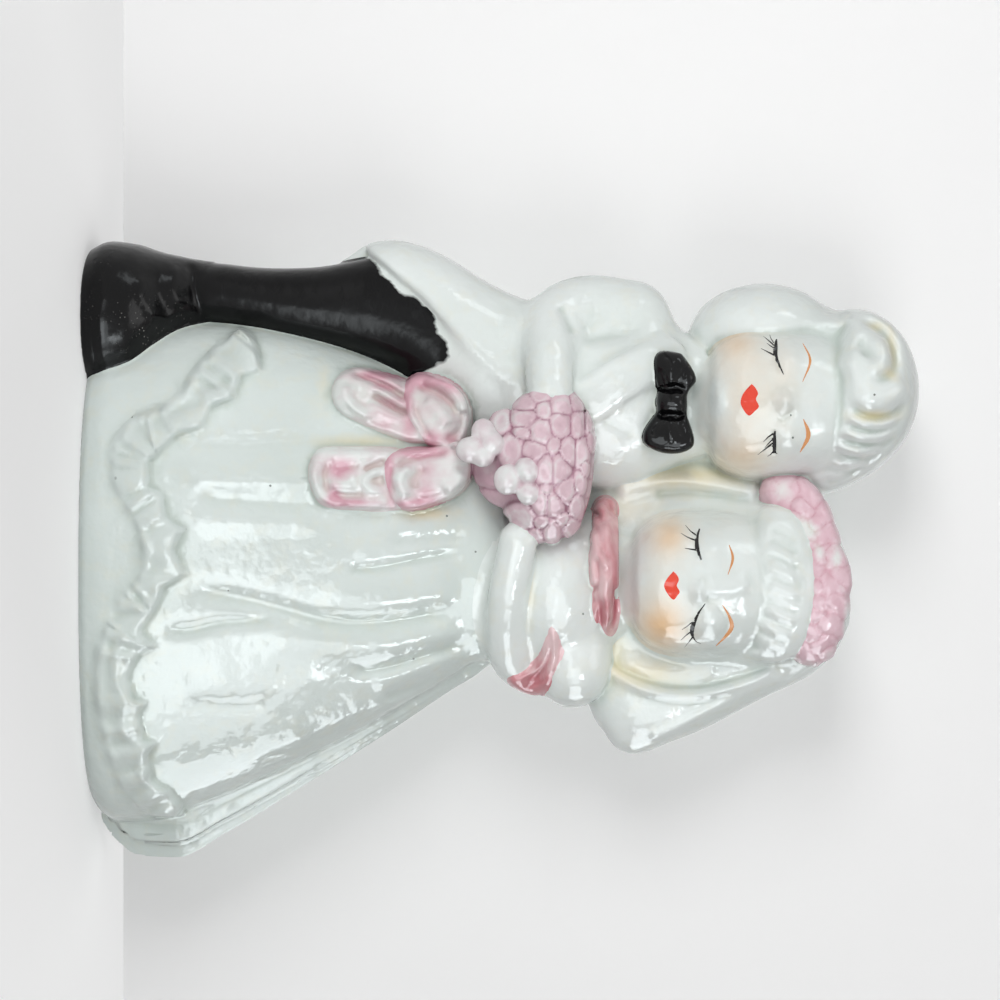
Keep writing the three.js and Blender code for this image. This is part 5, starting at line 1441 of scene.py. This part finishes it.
TINT_EVERYWHERE = {"flower_headpiece": 0.95, "bouquet": 1.0, "bow_loop_left": 0.26, "bow_loop_right": 0.26,
                   "bow_tail_left": 0.18, "bow_tail_right": 0.2, "collar": 0.35, "arm_band": 0.2,
                   **dict.fromkeys(BUD_NAMES, 0.32)}
TINT_SPOTS = {
    # x, z, radii and how much, negative where the glaze stays bare
    "groom_head": [(-0.245, 0.776, 0.024, 0.024, 0.45), (-0.104, 0.785, 0.022, 0.03, 0.42),
                   # the tint under the left brow is painted shade
                   (-0.178, 0.79, 0.08, 0.04, 0.3), (-0.205, 0.838, 0.04, 0.018, 0.15),
                   # the bare spot on the chin, with less blush, is a painted highlight
                   (-0.175, 0.758, 0.022, 0.009, -0.25)],
    "bride_head": [(-0.0115, 0.698, 0.025, 0.022, 0.7), (0.0974, 0.689, 0.031, 0.029, 0.95),
                   (0.045, 0.685, 0.05, 0.02, 0.12)],
    "veil": [(-0.085, 0.72, 0.018, 0.09, 0.7), (0.155, 0.66, 0.018, 0.06, 0.6),
             (-0.045, 0.66, 0.02, 0.03, 0.3), (0.12, 0.635, 0.03, 0.012, 0.5)],
    "groom_hair": [(-0.235, 0.9645, 0.03, 0.006, 0.6), (-0.205, 0.958, 0.008, 0.01, 0.5),
                   (-0.154, 0.942, 0.006, 0.025, 0.8), (-0.262, 0.946, 0.006, 0.01, 0.5)],
    # the cream band along the crease under the bodice's edge is painted shade
    "bodice": [(0.05, 0.533, 0.05, 0.006, 0.35)],
    "shoe": [(-0.25, 0.085, 0.035, 0.04, 1.0), (-0.3, 0.03, 0.06, 0.02, 0.35)],
    "skirt": [(-0.038, 0.41, 0.008, 0.03, 0.7), (-0.125, 0.33, 0.006, 0.05, 0.5),
              (-0.19, 0.285, 0.03, 0.008, 0.3)],
    "flower_headpiece": [(-0.018, 0.861, 0.012, 0.012, -1.0), (-0.028, 0.839, 0.012, 0.012, -1.0),
                         (-0.063, 0.836, 0.014, 0.01, -0.5), (0.09, 0.911, 0.025, 0.005, -0.8),
                         (0.052, 0.864, 0.01, 0.008, -0.8), (0.15, 0.868, 0.01, 0.014, -0.9),
                         (0.135, 0.845, 0.01, 0.008, -0.8), (0.012, 0.897, 0.014, 0.007, -0.7),
                         (0.008, 0.876, 0.012, 0.007, -0.6), (0.128, 0.89, 0.014, 0.012, -0.2)],
    "bouquet": [(-0.031, 0.526, 0.012, 0.012, -0.3), (-0.133, 0.486, 0.02, 0.014, -0.7),
                (-0.147, 0.504, 0.016, 0.01, -0.35), (-0.098, 0.488, 0.016, 0.01, -0.6)],
    "bow_loop_left": [(-0.2, 0.41, 0.012, 0.03, 0.8), (-0.19, 0.44, 0.012, 0.014, 0.5),
                      (-0.18, 0.385, 0.03, 0.008, 0.75), (-0.125, 0.415, 0.014, 0.012, 0.7),
                      (-0.125, 0.44, 0.01, 0.01, 0.4)],
    "bow_loop_right": [(-0.112, 0.4, 0.009, 0.04, 0.85), (-0.085, 0.365, 0.03, 0.006, 0.8),
                       (-0.048, 0.4, 0.007, 0.03, 0.8), (-0.06, 0.41, 0.012, 0.014, 0.5),
                       (-0.085, 0.41, 0.014, 0.01, 0.35)],
    "bow_tail_left": [(-0.205, 0.355, 0.007, 0.035, 0.8), (-0.15, 0.36, 0.014, 0.018, 0.45),
                      (-0.172, 0.37, 0.008, 0.02, 0.45), (-0.19, 0.36, 0.006, 0.02, 0.5),
                      (-0.15, 0.39, 0.03, 0.01, 0.5)],
    "bow_tail_right": [(-0.092, 0.308, 0.012, 0.014, 0.85), (-0.051, 0.32, 0.006, 0.03, 0.75),
                       (-0.062, 0.302, 0.012, 0.008, 0.7), (-0.07, 0.37, 0.03, 0.006, 0.5)],
    "collar": [(-0.043, 0.62, 0.014, 0.014, 0.5), (0.085, 0.618, 0.02, 0.008, 0.7),
               # the bare band low on the collar is a painted highlight
               (0.065, 0.634, 0.03, 0.003, 0.7), (0.02, 0.605, 0.03, 0.006, -0.6),
               (0.1, 0.61, 0.01, 0.006, 0.3)],
    "arm_band": [(0.172, 0.54, 0.016, 0.024, 0.9), (0.162, 0.518, 0.012, 0.014, 0.7),
                 (0.145, 0.54, 0.01, 0.008, 0.4), (0.105, 0.56, 0.014, 0.01, -0.3)],
}
PAINT_TOP = [
    (-0.42, 0.3), (-0.353, 0.33), (-0.321, 0.358), (-0.305, 0.372), (-0.299, 0.392), (-0.285, 0.408),
    (-0.261, 0.422), (-0.241, 0.432), (-0.225, 0.434), (-0.217, 0.416), (-0.209, 0.405),
    (-0.2, 0.385), (0.1, 0.385), (0.1, 0.6), (-0.42, 0.6)]
PAINT_EDGE = 4.0  # millimetres over which the tint of the black paint runs from none to full


PETAL_RIM_HIGHLIGHT = 0.35  # how much paler the rim of each petal is, a painted highlight
RIM_HIGHLIGHT_PLACE = 0.85
RIM_HIGHLIGHT_WIDTH = 0.2
PAINT_LINE_WIDTH = 0.16
PAINT_GAP = 1.6  # the gaps between petals start this far from their middles
PAINT_GAP_EDGE = 0.3
PAINT_GAP_SHARE = 0.5
FLOWER_LINE_SHARE = 0.5
FORM_SHARE = 0.5  # of the hollows of the form, where crevices are added


def tint_of(name, places):
    """The tint of some places on an element"""
    x, y, z = places.T
    if name == "trousers":
        return np.clip(0.5 + region(shares(PAINT_TOP), x, z) / PAINT_EDGE, 0, 1)
    spots = sum(amount * np.exp(-((x / TALL - px) / rx) ** 2 - ((z / TALL - pz) / rz) ** 2)
                for px, pz, rx, rz, amount in TINT_SPOTS.get(name, []))
    if name == "bouquet":
        # Painted highlight: less paint on the rim of each petal
        spots = spots - PETAL_RIM_HIGHLIGHT * bump(bouquet_map(x, z)[0], RIM_HIGHLIGHT_PLACE, RIM_HIGHLIGHT_WIDTH)
    return np.clip(TINT_EVERYWHERE.get(name, 0.0) + spots * front_weight(y, -4.0, 3.0), 0, 1)


def between_petals(x, z):
    """Where paint gathers in the lines between petals"""
    off_middle, lead = bouquet_map(x, z)
    line = np.maximum(bump(off_middle, RIM_PLACE, RIM_WIDTH), bump(lead, 0, PAINT_LINE_WIDTH))
    return np.maximum(line, PAINT_GAP_SHARE * ease((off_middle - PAINT_GAP) / PAINT_GAP_EDGE))


def between_flowers(x, z):
    """Where paint gathers between the flowers of the headpiece"""
    return FLOWER_LINE_SHARE * crown_map(x, z)[1]


CREVICES = {"bouquet": between_petals, "flower_headpiece": between_flowers}


def hollow_of(name, places, hollows):
    """How deep in a hollow some places on an element are, crevices of its flowers included"""
    if name not in CREVICES:
        return hollows
    return np.clip(FORM_SHARE * hollows + CREVICES[name](places[:, 0], places[:, 2]), 0, 1)


# Painted lines and patches on the faces

LINE_PROUD = 0.07
PATCH_PROUD = 0.12
SPECK_PROUD = 0.06
PATCH_RINGS = 5
SPECK_RINGS = 2
PATCH_BACK = 0.35  # how far behind the surface a patch's rim and middle end
PATCH_BACK_MIDDLE = 0.5
LINE_SECTION = [(-1, 0), (-0.6, 0.8), (0, 1), (0.6, 0.8), (1, 0), (0, -4)]  # shares across and forward
LEAST_HALF = 0.02  # of a line's width
front_first = (skin < 0).argmax(axis=1)
column_x, column_z = np.meshgrid(np.arange(skin.shape[0]), np.arange(skin.shape[2]), indexing="ij")
before = skin[column_x, np.maximum(front_first - 1, 0), column_z]
after = skin[column_x, front_first, column_z]
front_y = AXES[1][front_first] - PITCH * after / np.minimum(after - before, -TINY)


def front_place(x, z):
    """Depth of the front surface at places across and up"""
    gx = np.clip((np.asarray(x) - GRID_LOW[0]) / PITCH, 0, front_y.shape[0] - JUST_INSIDE)
    gz = np.clip((np.asarray(z) - GRID_LOW[2]) / PITCH, 0, front_y.shape[1] - JUST_INSIDE)
    i, k = gx.astype(int), gz.astype(int)
    fx, fz = gx - i, gz - k
    return ((1 - fx) * (1 - fz) * front_y[i, k] + fx * (1 - fz) * front_y[i + 1, k]
            + (1 - fx) * fz * front_y[i, k + 1] + fx * fz * front_y[i + 1, k + 1])


def painted_line(line_shares, widths):
    """A raised line of paint: its places, and its width in millimetres at each"""
    line = smooth_line([(x * TALL, z * TALL, w) for (x, z), w in zip(line_shares, widths)], LINE_STEPS)
    along = np.gradient(line[:, :2], axis=0)
    along /= np.maximum(np.linalg.norm(along, axis=1, keepdims=True), TINY)
    side = np.stack([-along[:, 1], along[:, 0]], 1)
    half = np.maximum(line[:, 2:3] / 2, LEAST_HALF)
    rings = []
    for across, lift in LINE_SECTION:
        spot = line[:, :2] + side * half * across
        y = front_place(spot[:, 0], spot[:, 1]) - LINE_PROUD * lift
        rings.append(np.stack([spot[:, 0], y, spot[:, 1]], 1))
    return closed_tube(np.stack(rings, 1))


def closed_tube(rings):
    """A tube over rings of places, closed at both ends"""
    count, sides = rings.shape[:2]
    verts = [*rings.reshape(-1, 3), rings[0].mean(0), rings[-1].mean(0)]
    tube = []
    for i in range(count - 1):
        for j in range(sides):
            a, b = i * sides + j, i * sides + (j + 1) % sides
            tube.append((a, b, b + sides, a + sides))
    first, last = count * sides, count * sides + 1
    for j in range(sides):
        k = (j + 1) % sides
        tube.append((first, k, j))
        tube.append((last, (count - 1) * sides + j, (count - 1) * sides + k))
    return outward(np.array(verts), tube)


def outward(verts, patch):
    """The closed mesh with its faces turned outward"""
    volume = 0.0
    for face in patch:
        for i in range(1, len(face) - 1):
            volume += np.dot(verts[face[0]], np.cross(verts[face[i]], verts[face[i + 1]]))
    return verts, patch if volume > 0 else [face[::-1] for face in patch]


def painted_patch(outline, proud=PATCH_PROUD, rings=PATCH_RINGS):
    """A raised patch of paint inside an outline of places in shares"""
    edge = closed_line(outline, LINE_STEPS)
    middle = edge.mean(0)
    verts, patch = [], []
    for ring_number in range(rings):
        grow = 1 - ring_number / rings
        lift = proud * math.sqrt(1 - grow ** 4) if ring_number else 0.0
        spot = middle + (edge - middle) * grow
        y = front_place(spot[:, 0], spot[:, 1]) - lift
        verts.append(np.stack([spot[:, 0], y, spot[:, 1]], 1))
    sides = len(edge)
    back = verts[0] + np.array([0, PATCH_BACK, 0])
    flat_middle = np.array([[middle[0], front_place(middle[:1], middle[1:])[0] - proud, middle[1]]])
    back_middle = flat_middle + np.array([0, PATCH_BACK_MIDDLE, 0])
    stacked = np.vstack([back, *verts, flat_middle, back_middle])
    for row in range(rings):
        for j in range(sides):
            k = (j + 1) % sides
            a = row * sides
            patch.append((a + j, a + k, a + sides + k, a + sides + j))
    top, bottom = len(stacked) - 2, len(stacked) - 1
    for j in range(sides):
        k = (j + 1) % sides
        patch.append((rings * sides + j, rings * sides + k, top))
        patch.append((k, j, bottom))
    return outward(stacked, patch)


lash_black = glaze("lash_black", rgb(22, 20, 20), rgb(12, 11, 11), pinholes=False)
brow_brown = glaze("brow_brown", rgb(214, 150, 96), rgb(190, 122, 72), pinholes=False)
lip_red = glaze("lip_red", rgb(236, 74, 50), rgb(206, 46, 34), pinholes=False)
lip_line = glaze("lip_line", rgb(190, 40, 30), rgb(160, 30, 26), pinholes=False)
speck_grey = glaze("speck_grey", rgb(120, 125, 120), SPECK_GREY, pinholes=False)
PAINTED = {
    # finish, a line of places in shares and its widths in millimetres
    "groom_head": [
        (lip_line, [(-0.1895, 0.7935), (-0.181, 0.791), (-0.1725, 0.7925), (-0.164, 0.7905),
                    (-0.1565, 0.792)], [0.08, 0.3, 0.25, 0.3, 0.08]),
        (brow_brown, [(-0.242, 0.8585), (-0.22, 0.866), (-0.194, 0.856)], [0.1, 0.4, 0.08]),
        (brow_brown, [(-0.15, 0.857), (-0.131, 0.8635), (-0.111, 0.8545)], [0.12, 0.75, 0.15]),
        (lash_black, [(-0.247, 0.8275), (-0.2365, 0.8255), (-0.226, 0.825), (-0.216, 0.828),
                      (-0.203, 0.8335)], [0.25, 0.65, 0.6, 0.4, 0.12]),
        (lash_black, [(-0.238, 0.825), (-0.245, 0.818), (-0.251, 0.812)], [0.3, 0.16, 0.05]),
        (lash_black, [(-0.242, 0.824), (-0.248, 0.821), (-0.253, 0.82)], [0.2, 0.12, 0.05]),
        (lash_black, [(-0.235, 0.825), (-0.238, 0.82), (-0.242, 0.8155)], [0.25, 0.16, 0.05]),
        (lash_black, [(-0.226, 0.825), (-0.23, 0.817), (-0.235, 0.808)], [0.35, 0.2, 0.05]),
        (lash_black, [(-0.136, 0.8235), (-0.123, 0.8225), (-0.11, 0.824)], [0.25, 0.75, 0.5]),
        (lash_black, [(-0.133, 0.822), (-0.129, 0.816), (-0.123, 0.81)], [0.35, 0.2, 0.05]),
        (lash_black, [(-0.127, 0.822), (-0.121, 0.816), (-0.116, 0.812)], [0.25, 0.12, 0.05]),
        (lash_black, [(-0.122, 0.822), (-0.115, 0.813), (-0.108, 0.804)], [0.35, 0.2, 0.05]),
        (lash_black, [(-0.113, 0.823), (-0.109, 0.82), (-0.106, 0.816)], [0.3, 0.16, 0.05]),
        (lash_black, [(-0.112, 0.824), (-0.11, 0.826), (-0.109, 0.8275)], [0.3, 0.16, 0.05]),
    ],
    "bride_head": [
        (lip_line, [(0.0315, 0.7022), (0.039, 0.7005), (0.047, 0.7015), (0.055, 0.7005), (0.062, 0.7022)],
         [0.08, 0.25, 0.2, 0.25, 0.08]),
        (brow_brown, [(-0.001, 0.769), (0.015, 0.773), (0.034, 0.767)], [0.1, 0.4, 0.1]),
        (brow_brown, [(0.07, 0.7605), (0.083, 0.7685), (0.099, 0.7715), (0.12, 0.7545)],
         [0.1, 0.4, 0.65, 0.15]),
        (lash_black, [(-0.02, 0.7345), (-0.009, 0.731), (0.003, 0.731), (0.0165, 0.7355)],
         [0.2, 0.5, 0.65, 0.25]),
        (lash_black, [(-0.012, 0.731), (-0.017, 0.724), (-0.024, 0.718)], [0.3, 0.16, 0.05]),
        (lash_black, [(-0.006, 0.73), (-0.01, 0.72), (-0.015, 0.712)], [0.3, 0.16, 0.05]),
        (lash_black, [(0.005, 0.73), (0.004, 0.723), (0.003, 0.7165)], [0.3, 0.18, 0.05]),
        (lash_black, [(0.068, 0.74), (0.082, 0.731), (0.099, 0.725), (0.11, 0.7265)], [0.12, 0.4, 0.7, 0.3]),
        (lash_black, [(0.087, 0.729), (0.094, 0.721), (0.1, 0.713)], [0.3, 0.16, 0.05]),
        (lash_black, [(0.101, 0.725), (0.107, 0.718), (0.113, 0.712)], [0.3, 0.14, 0.05]),
        (lash_black, [(0.108, 0.7265), (0.115, 0.722), (0.122, 0.717)], [0.3, 0.14, 0.05]),
        (lash_black, [(0.109, 0.727), (0.114, 0.73), (0.117, 0.736)], [0.25, 0.1, 0.05]),
    ],
}
LIPS = {
    "groom_head": [(-0.1915, 0.7955), (-0.187, 0.8), (-0.18, 0.803), (-0.1735, 0.8005), (-0.165, 0.804),
                   (-0.159, 0.799), (-0.154, 0.7925), (-0.16, 0.7865), (-0.169, 0.7825), (-0.179, 0.785),
                   (-0.187, 0.791)],
    "bride_head": [(0.03, 0.7025), (0.034, 0.7065), (0.04, 0.709), (0.047, 0.7065), (0.054, 0.71),
                   (0.059, 0.707), (0.0635, 0.7025), (0.057, 0.696), (0.047, 0.6915), (0.038, 0.6955)],
}

SPECKS = {
    # dark pinholes in the glaze
    "groom_head": [(-0.128, 0.8445), (-0.1545, 0.842)], "groom_hair": [(-0.178, 0.939)],
    "bodice": [(0.082, 0.596)],
    "skirt": [(0.008, 0.467), (-0.035, 0.433), (-0.071, 0.227), (0.053, 0.177), (0.137, 0.392)],
}
SPECK_HALF = 0.0014
SPECK_TURNS = np.arange(6) * math.pi / 3


def speck(x, z):
    """A small round spot at a place in shares"""
    outline = [(x + SPECK_HALF * math.cos(a), z + SPECK_HALF * math.sin(a)) for a in SPECK_TURNS]
    return painted_patch(outline, SPECK_PROUD, SPECK_RINGS)


# Pieces: one for each element, closed behind by an inner wall

def add_attribute(mesh, name, values):
    """A number under a name for each point of a mesh"""
    layer = mesh.attributes.new(name, "FLOAT", "POINT")
    layer.data.foreach_set("value", np.asarray(values, np.float32))


def shell_of(column):
    """One element's points of the skin, and its closed shell: skin, inner wall and the rim between them"""
    used, local = np.unique(faces[face_owner == column], return_inverse=True)
    local = local.reshape(-1, 3)
    count = len(used)
    edges = np.vstack([local[:, [0, 1]], local[:, [1, 2]], local[:, [2, 0]]])
    keys = edges[:, 0].astype(np.int64) * count + edges[:, 1]
    back_keys = edges[:, 1].astype(np.int64) * count + edges[:, 0]
    rim = edges[~np.isin(keys, back_keys)]
    walls = np.vstack([np.stack([rim[:, 1], rim[:, 0], rim[:, 0] + count], 1),
                       np.stack([rim[:, 1], rim[:, 0] + count, rim[:, 1] + count], 1)])
    places = np.vstack([points[used], points[used] - normals[used] * depth[used][:, None]])
    return used, places, np.vstack([local, local[:, ::-1] + count, walls])


def paint_on(name):
    """The raised paint on an element: points, faces and finish of each closed part"""
    paint = [(*painted_patch(LIPS[name]), lip_red)] if name in LIPS else []
    paint += [(*painted_line(line, widths), finish) for finish, line, widths in PAINTED.get(name, [])]
    return paint + [(*speck(*spot), speck_grey) for spot in SPECKS.get(name, [])]


def make_piece(column):
    """One element's piece with its paint, which stands in for its node"""
    name = names[column]
    used, places, shell = shell_of(column)
    facing = np.vstack([normals[used], -normals[used]])
    # How deep in a hollow each place lies, where the glaze darkens as pooling and as painted shade
    hollow = hollow_of(name, places, np.tile(hollowness[used], 2))
    tint = tint_of(name, places)
    materials = [FINISHES.get(name, white_glaze)]
    face_list = shell.tolist()
    face_material = [0] * len(face_list)
    for verts, patch, finish in paint_on(name):
        first = len(places)
        if finish not in materials:
            materials.append(finish)
        places = np.vstack([places, verts])
        facing = np.vstack([facing, np.tile([0.0, -1.0, 0.0], (len(verts), 1))])
        hollow = np.concatenate([hollow, np.zeros(len(verts))])
        tint = np.concatenate([tint, np.zeros(len(verts))])
        face_list += [tuple(first + v for v in f) for f in patch]
        face_material += [materials.index(finish)] * len(patch)
    mesh = bpy.data.meshes.new(name + "_skin")
    mesh.from_pydata(((places + DRESS_PLACE) * MM).tolist(), [], face_list)
    mesh.polygons.foreach_set("use_smooth", np.ones(len(mesh.polygons), bool))
    mesh.polygons.foreach_set("material_index", np.array(face_material, np.int32))
    for material in materials:
        mesh.materials.append(material)
    add_attribute(mesh, "hollow", hollow)
    add_attribute(mesh, "tint", tint)
    mesh.normals_split_custom_set_from_vertices(facing.tolist())
    piece = bpy.data.objects.new(name + "_piece", mesh)
    bpy.context.scene.collection.objects.link(piece)
    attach(piece, "root")
    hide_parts(name)
    SLOTS.get(name, "white_glaze")


for column in range(len(names)):
    make_piece(column)


# Stage, light and camera

CAMERA_TARGET = Vector((-7.33, 2.39, 62.66)) * MM
CAMERA_AWAY = 420 * MM
CAMERA_RISE = math.radians(2)
CAMERA_LENS = 96.77
CAMERA_SENSOR = 36
CAMERA_NEAREST = 0.01
BACKGROUND = rgb(236, 236, 236)
STAGE_HALF = 2.0
# Depth and height of the stage's lines, in metres: the card behind the object leans towards the heads
FLOOR_LINES = [(-STAGE_HALF, 0), (STAGE_HALF, 0)]
CARD_LINES = [(0.0223, 0), (0.0183, 0.12), (0.0183, STAGE_HALF)]
FLOOR_ALBEDO = 0.6
FLOOR_GLOW = 0.46
CARD_ALBEDO = 0.84
CARD_GLOW = 0.075
WORLD_LEVEL = 0.2


def sheet(name, lines):
    """A stage surface along lines that run across"""
    mesh = bpy.data.meshes.new(name)
    corners = [(side, y, z) for y, z in lines for side in (-STAGE_HALF, STAGE_HALF)]
    mesh.from_pydata(corners, [], [(2 * i, 2 * i + 1, 2 * i + 3, 2 * i + 2) for i in range(len(lines) - 1)])
    obj = bpy.data.objects.new(name, mesh)
    bpy.context.scene.collection.objects.link(obj)
    return obj


def seen_ray(tree):
    """One for a ray from the camera, off a glossy surface or through a clear one"""
    path = tree.nodes.new("ShaderNodeLightPath")
    seen = calculate(tree, path.outputs["Is Camera Ray"], path.outputs["Is Glossy Ray"], "MAXIMUM")
    return calculate(tree, seen, path.outputs["Is Transmission Ray"], "MAXIMUM")


def pale(name, albedo, glow_level, seen_only=False):
    """A matt pale surface with a glow of the background's colour. One that is seen only is clear to other
    rays than the camera's, and from behind."""
    material, tree, out = nodes_of(name)
    diffuse = tree.nodes.new("ShaderNodeBsdfDiffuse")
    glow = tree.nodes.new("ShaderNodeEmission")
    glow.inputs[0].default_value = BACKGROUND
    diffuse.inputs[0].default_value = (albedo, albedo, albedo, 1)
    tree.links.new(calculate(tree, seen_ray(tree), glow_level), glow.inputs[1])
    both = tree.nodes.new("ShaderNodeAddShader")
    tree.links.new(diffuse.outputs[0], both.inputs[0])
    tree.links.new(glow.outputs[0], both.inputs[1])
    tree.links.new(both.outputs[0], out.inputs[0])
    if seen_only:
        side = tree.nodes.new("ShaderNodeNewGeometry").outputs["Backfacing"]
        camera_ray = tree.nodes.new("ShaderNodeLightPath").outputs["Is Camera Ray"]
        front = calculate(tree, calculate(tree, 1.0, side, "SUBTRACT"), camera_ray)
        clear = tree.nodes.new("ShaderNodeBsdfTransparent")
        choice = tree.nodes.new("ShaderNodeMixShader")
        tree.links.new(front, choice.inputs[0])
        tree.links.new(clear.outputs[0], choice.inputs[1])
        tree.links.new(both.outputs[0], choice.inputs[2])
        tree.links.new(choice.outputs[0], out.inputs[0])
    return material


floor = sheet("floor", FLOOR_LINES)
floor.data.materials.append(pale("floor_pale", FLOOR_ALBEDO, FLOOR_GLOW))
card = sheet("card_behind", CARD_LINES)
card.data.materials.append(pale("card_pale", CARD_ALBEDO, CARD_GLOW, seen_only=True))

world = bpy.data.worlds.new("studio")
bpy.context.scene.world = world
world.use_nodes = True
world_tree = world.node_tree
world_tree.nodes.clear()
world_out = world_tree.nodes.new("ShaderNodeOutputWorld")
soft = world_tree.nodes.new("ShaderNodeBackground")
soft.inputs[0].default_value = (1, 1, 1, 1)
soft.inputs[1].default_value = WORLD_LEVEL
seen = world_tree.nodes.new("ShaderNodeBackground")
seen.inputs[0].default_value = BACKGROUND
world_mix = world_tree.nodes.new("ShaderNodeMixShader")
world_tree.links.new(seen_ray(world_tree), world_mix.inputs[0])
world_tree.links.new(soft.outputs[0], world_mix.inputs[1])
world_tree.links.new(seen.outputs[0], world_mix.inputs[2])
world_tree.links.new(world_mix.outputs[0], world_out.inputs[0])

SKY = (0.9, 0.97, 1.0)
LAMPS = [
    # name, place and size in metres, level where 1 is white, whether it lights, whether the glaze shows it
    ("key", (-0.25, -0.3, 0.07), (0.2, 0.14), 7.6, True, False),
    ("front_fill", (-0.05, -0.65, 0.14), (0.5, 0.4), 1.1, True, False),
    ("right_fill", (0.35, -0.45, 0.2), (0.3, 0.3), 3.4, True, False),
    ("window_right", (0.25, -0.42, 0.1), (0.44, 0.3), 3.6, False, True),
    ("window_high", (0.3, -0.34, 0.3), (0.13, 0.12), 11.0, False, True),
    ("window_left", (-0.42, -0.2, 0.34), (0.1, 0.2), 3.2, False, True),
    ("window_near", (-0.1, -0.44, 0.1), (0.03, 0.11), 3.6, False, True),
    ("window_far", (0.5, -0.03, 0.1), (0.42, 0.3), 6.0, False, True),
    ("window_low", (0.05, -0.16, 0.03), (0.14, 0.06), 3.2, False, True),
    ("top", (0.0, -0.15, 0.7), (0.3, 0.3), 1.6, True, True),
    ("back_fill", (0.1, 0.8, 0.35), (0.8, 0.6), 3.2, True, False),
]


def lamp(name, place, size, level, lights, shines):
    """A soft lamp that looks at the object"""
    data = bpy.data.lights.new(name, "AREA")
    data.shape = "RECTANGLE"
    data.size, data.size_y = size
    data.energy = level * math.pi * size[0] * size[1]
    data.color = (1, 1, 1) if lights else SKY
    obj = bpy.data.objects.new(name, data)
    obj.location = place
    obj.rotation_euler = (CAMERA_TARGET - Vector(place)).to_track_quat("-Z", "Y").to_euler()
    obj.visible_diffuse = lights
    obj.visible_glossy = shines
    obj.visible_camera = False
    bpy.context.scene.collection.objects.link(obj)


for row in LAMPS:
    lamp(*row)

camera_data = bpy.data.cameras.new("photo_camera")
camera_data.lens = CAMERA_LENS
camera_data.sensor_width = CAMERA_SENSOR
camera_data.clip_start = CAMERA_NEAREST
camera = bpy.data.objects.new("photo_camera", camera_data)
bpy.context.scene.collection.objects.link(camera)
camera.location = CAMERA_TARGET + CAMERA_AWAY * Vector((0, -math.cos(CAMERA_RISE), math.sin(CAMERA_RISE)))
camera.rotation_euler = (Euler((math.pi / 2 - CAMERA_RISE, 0, 0)).to_quaternion()
                         @ Euler((0, 0, math.pi / 2)).to_quaternion()).to_euler()
bpy.context.scene.camera = camera
bpy.context.scene.view_settings.view_transform = "Standard"
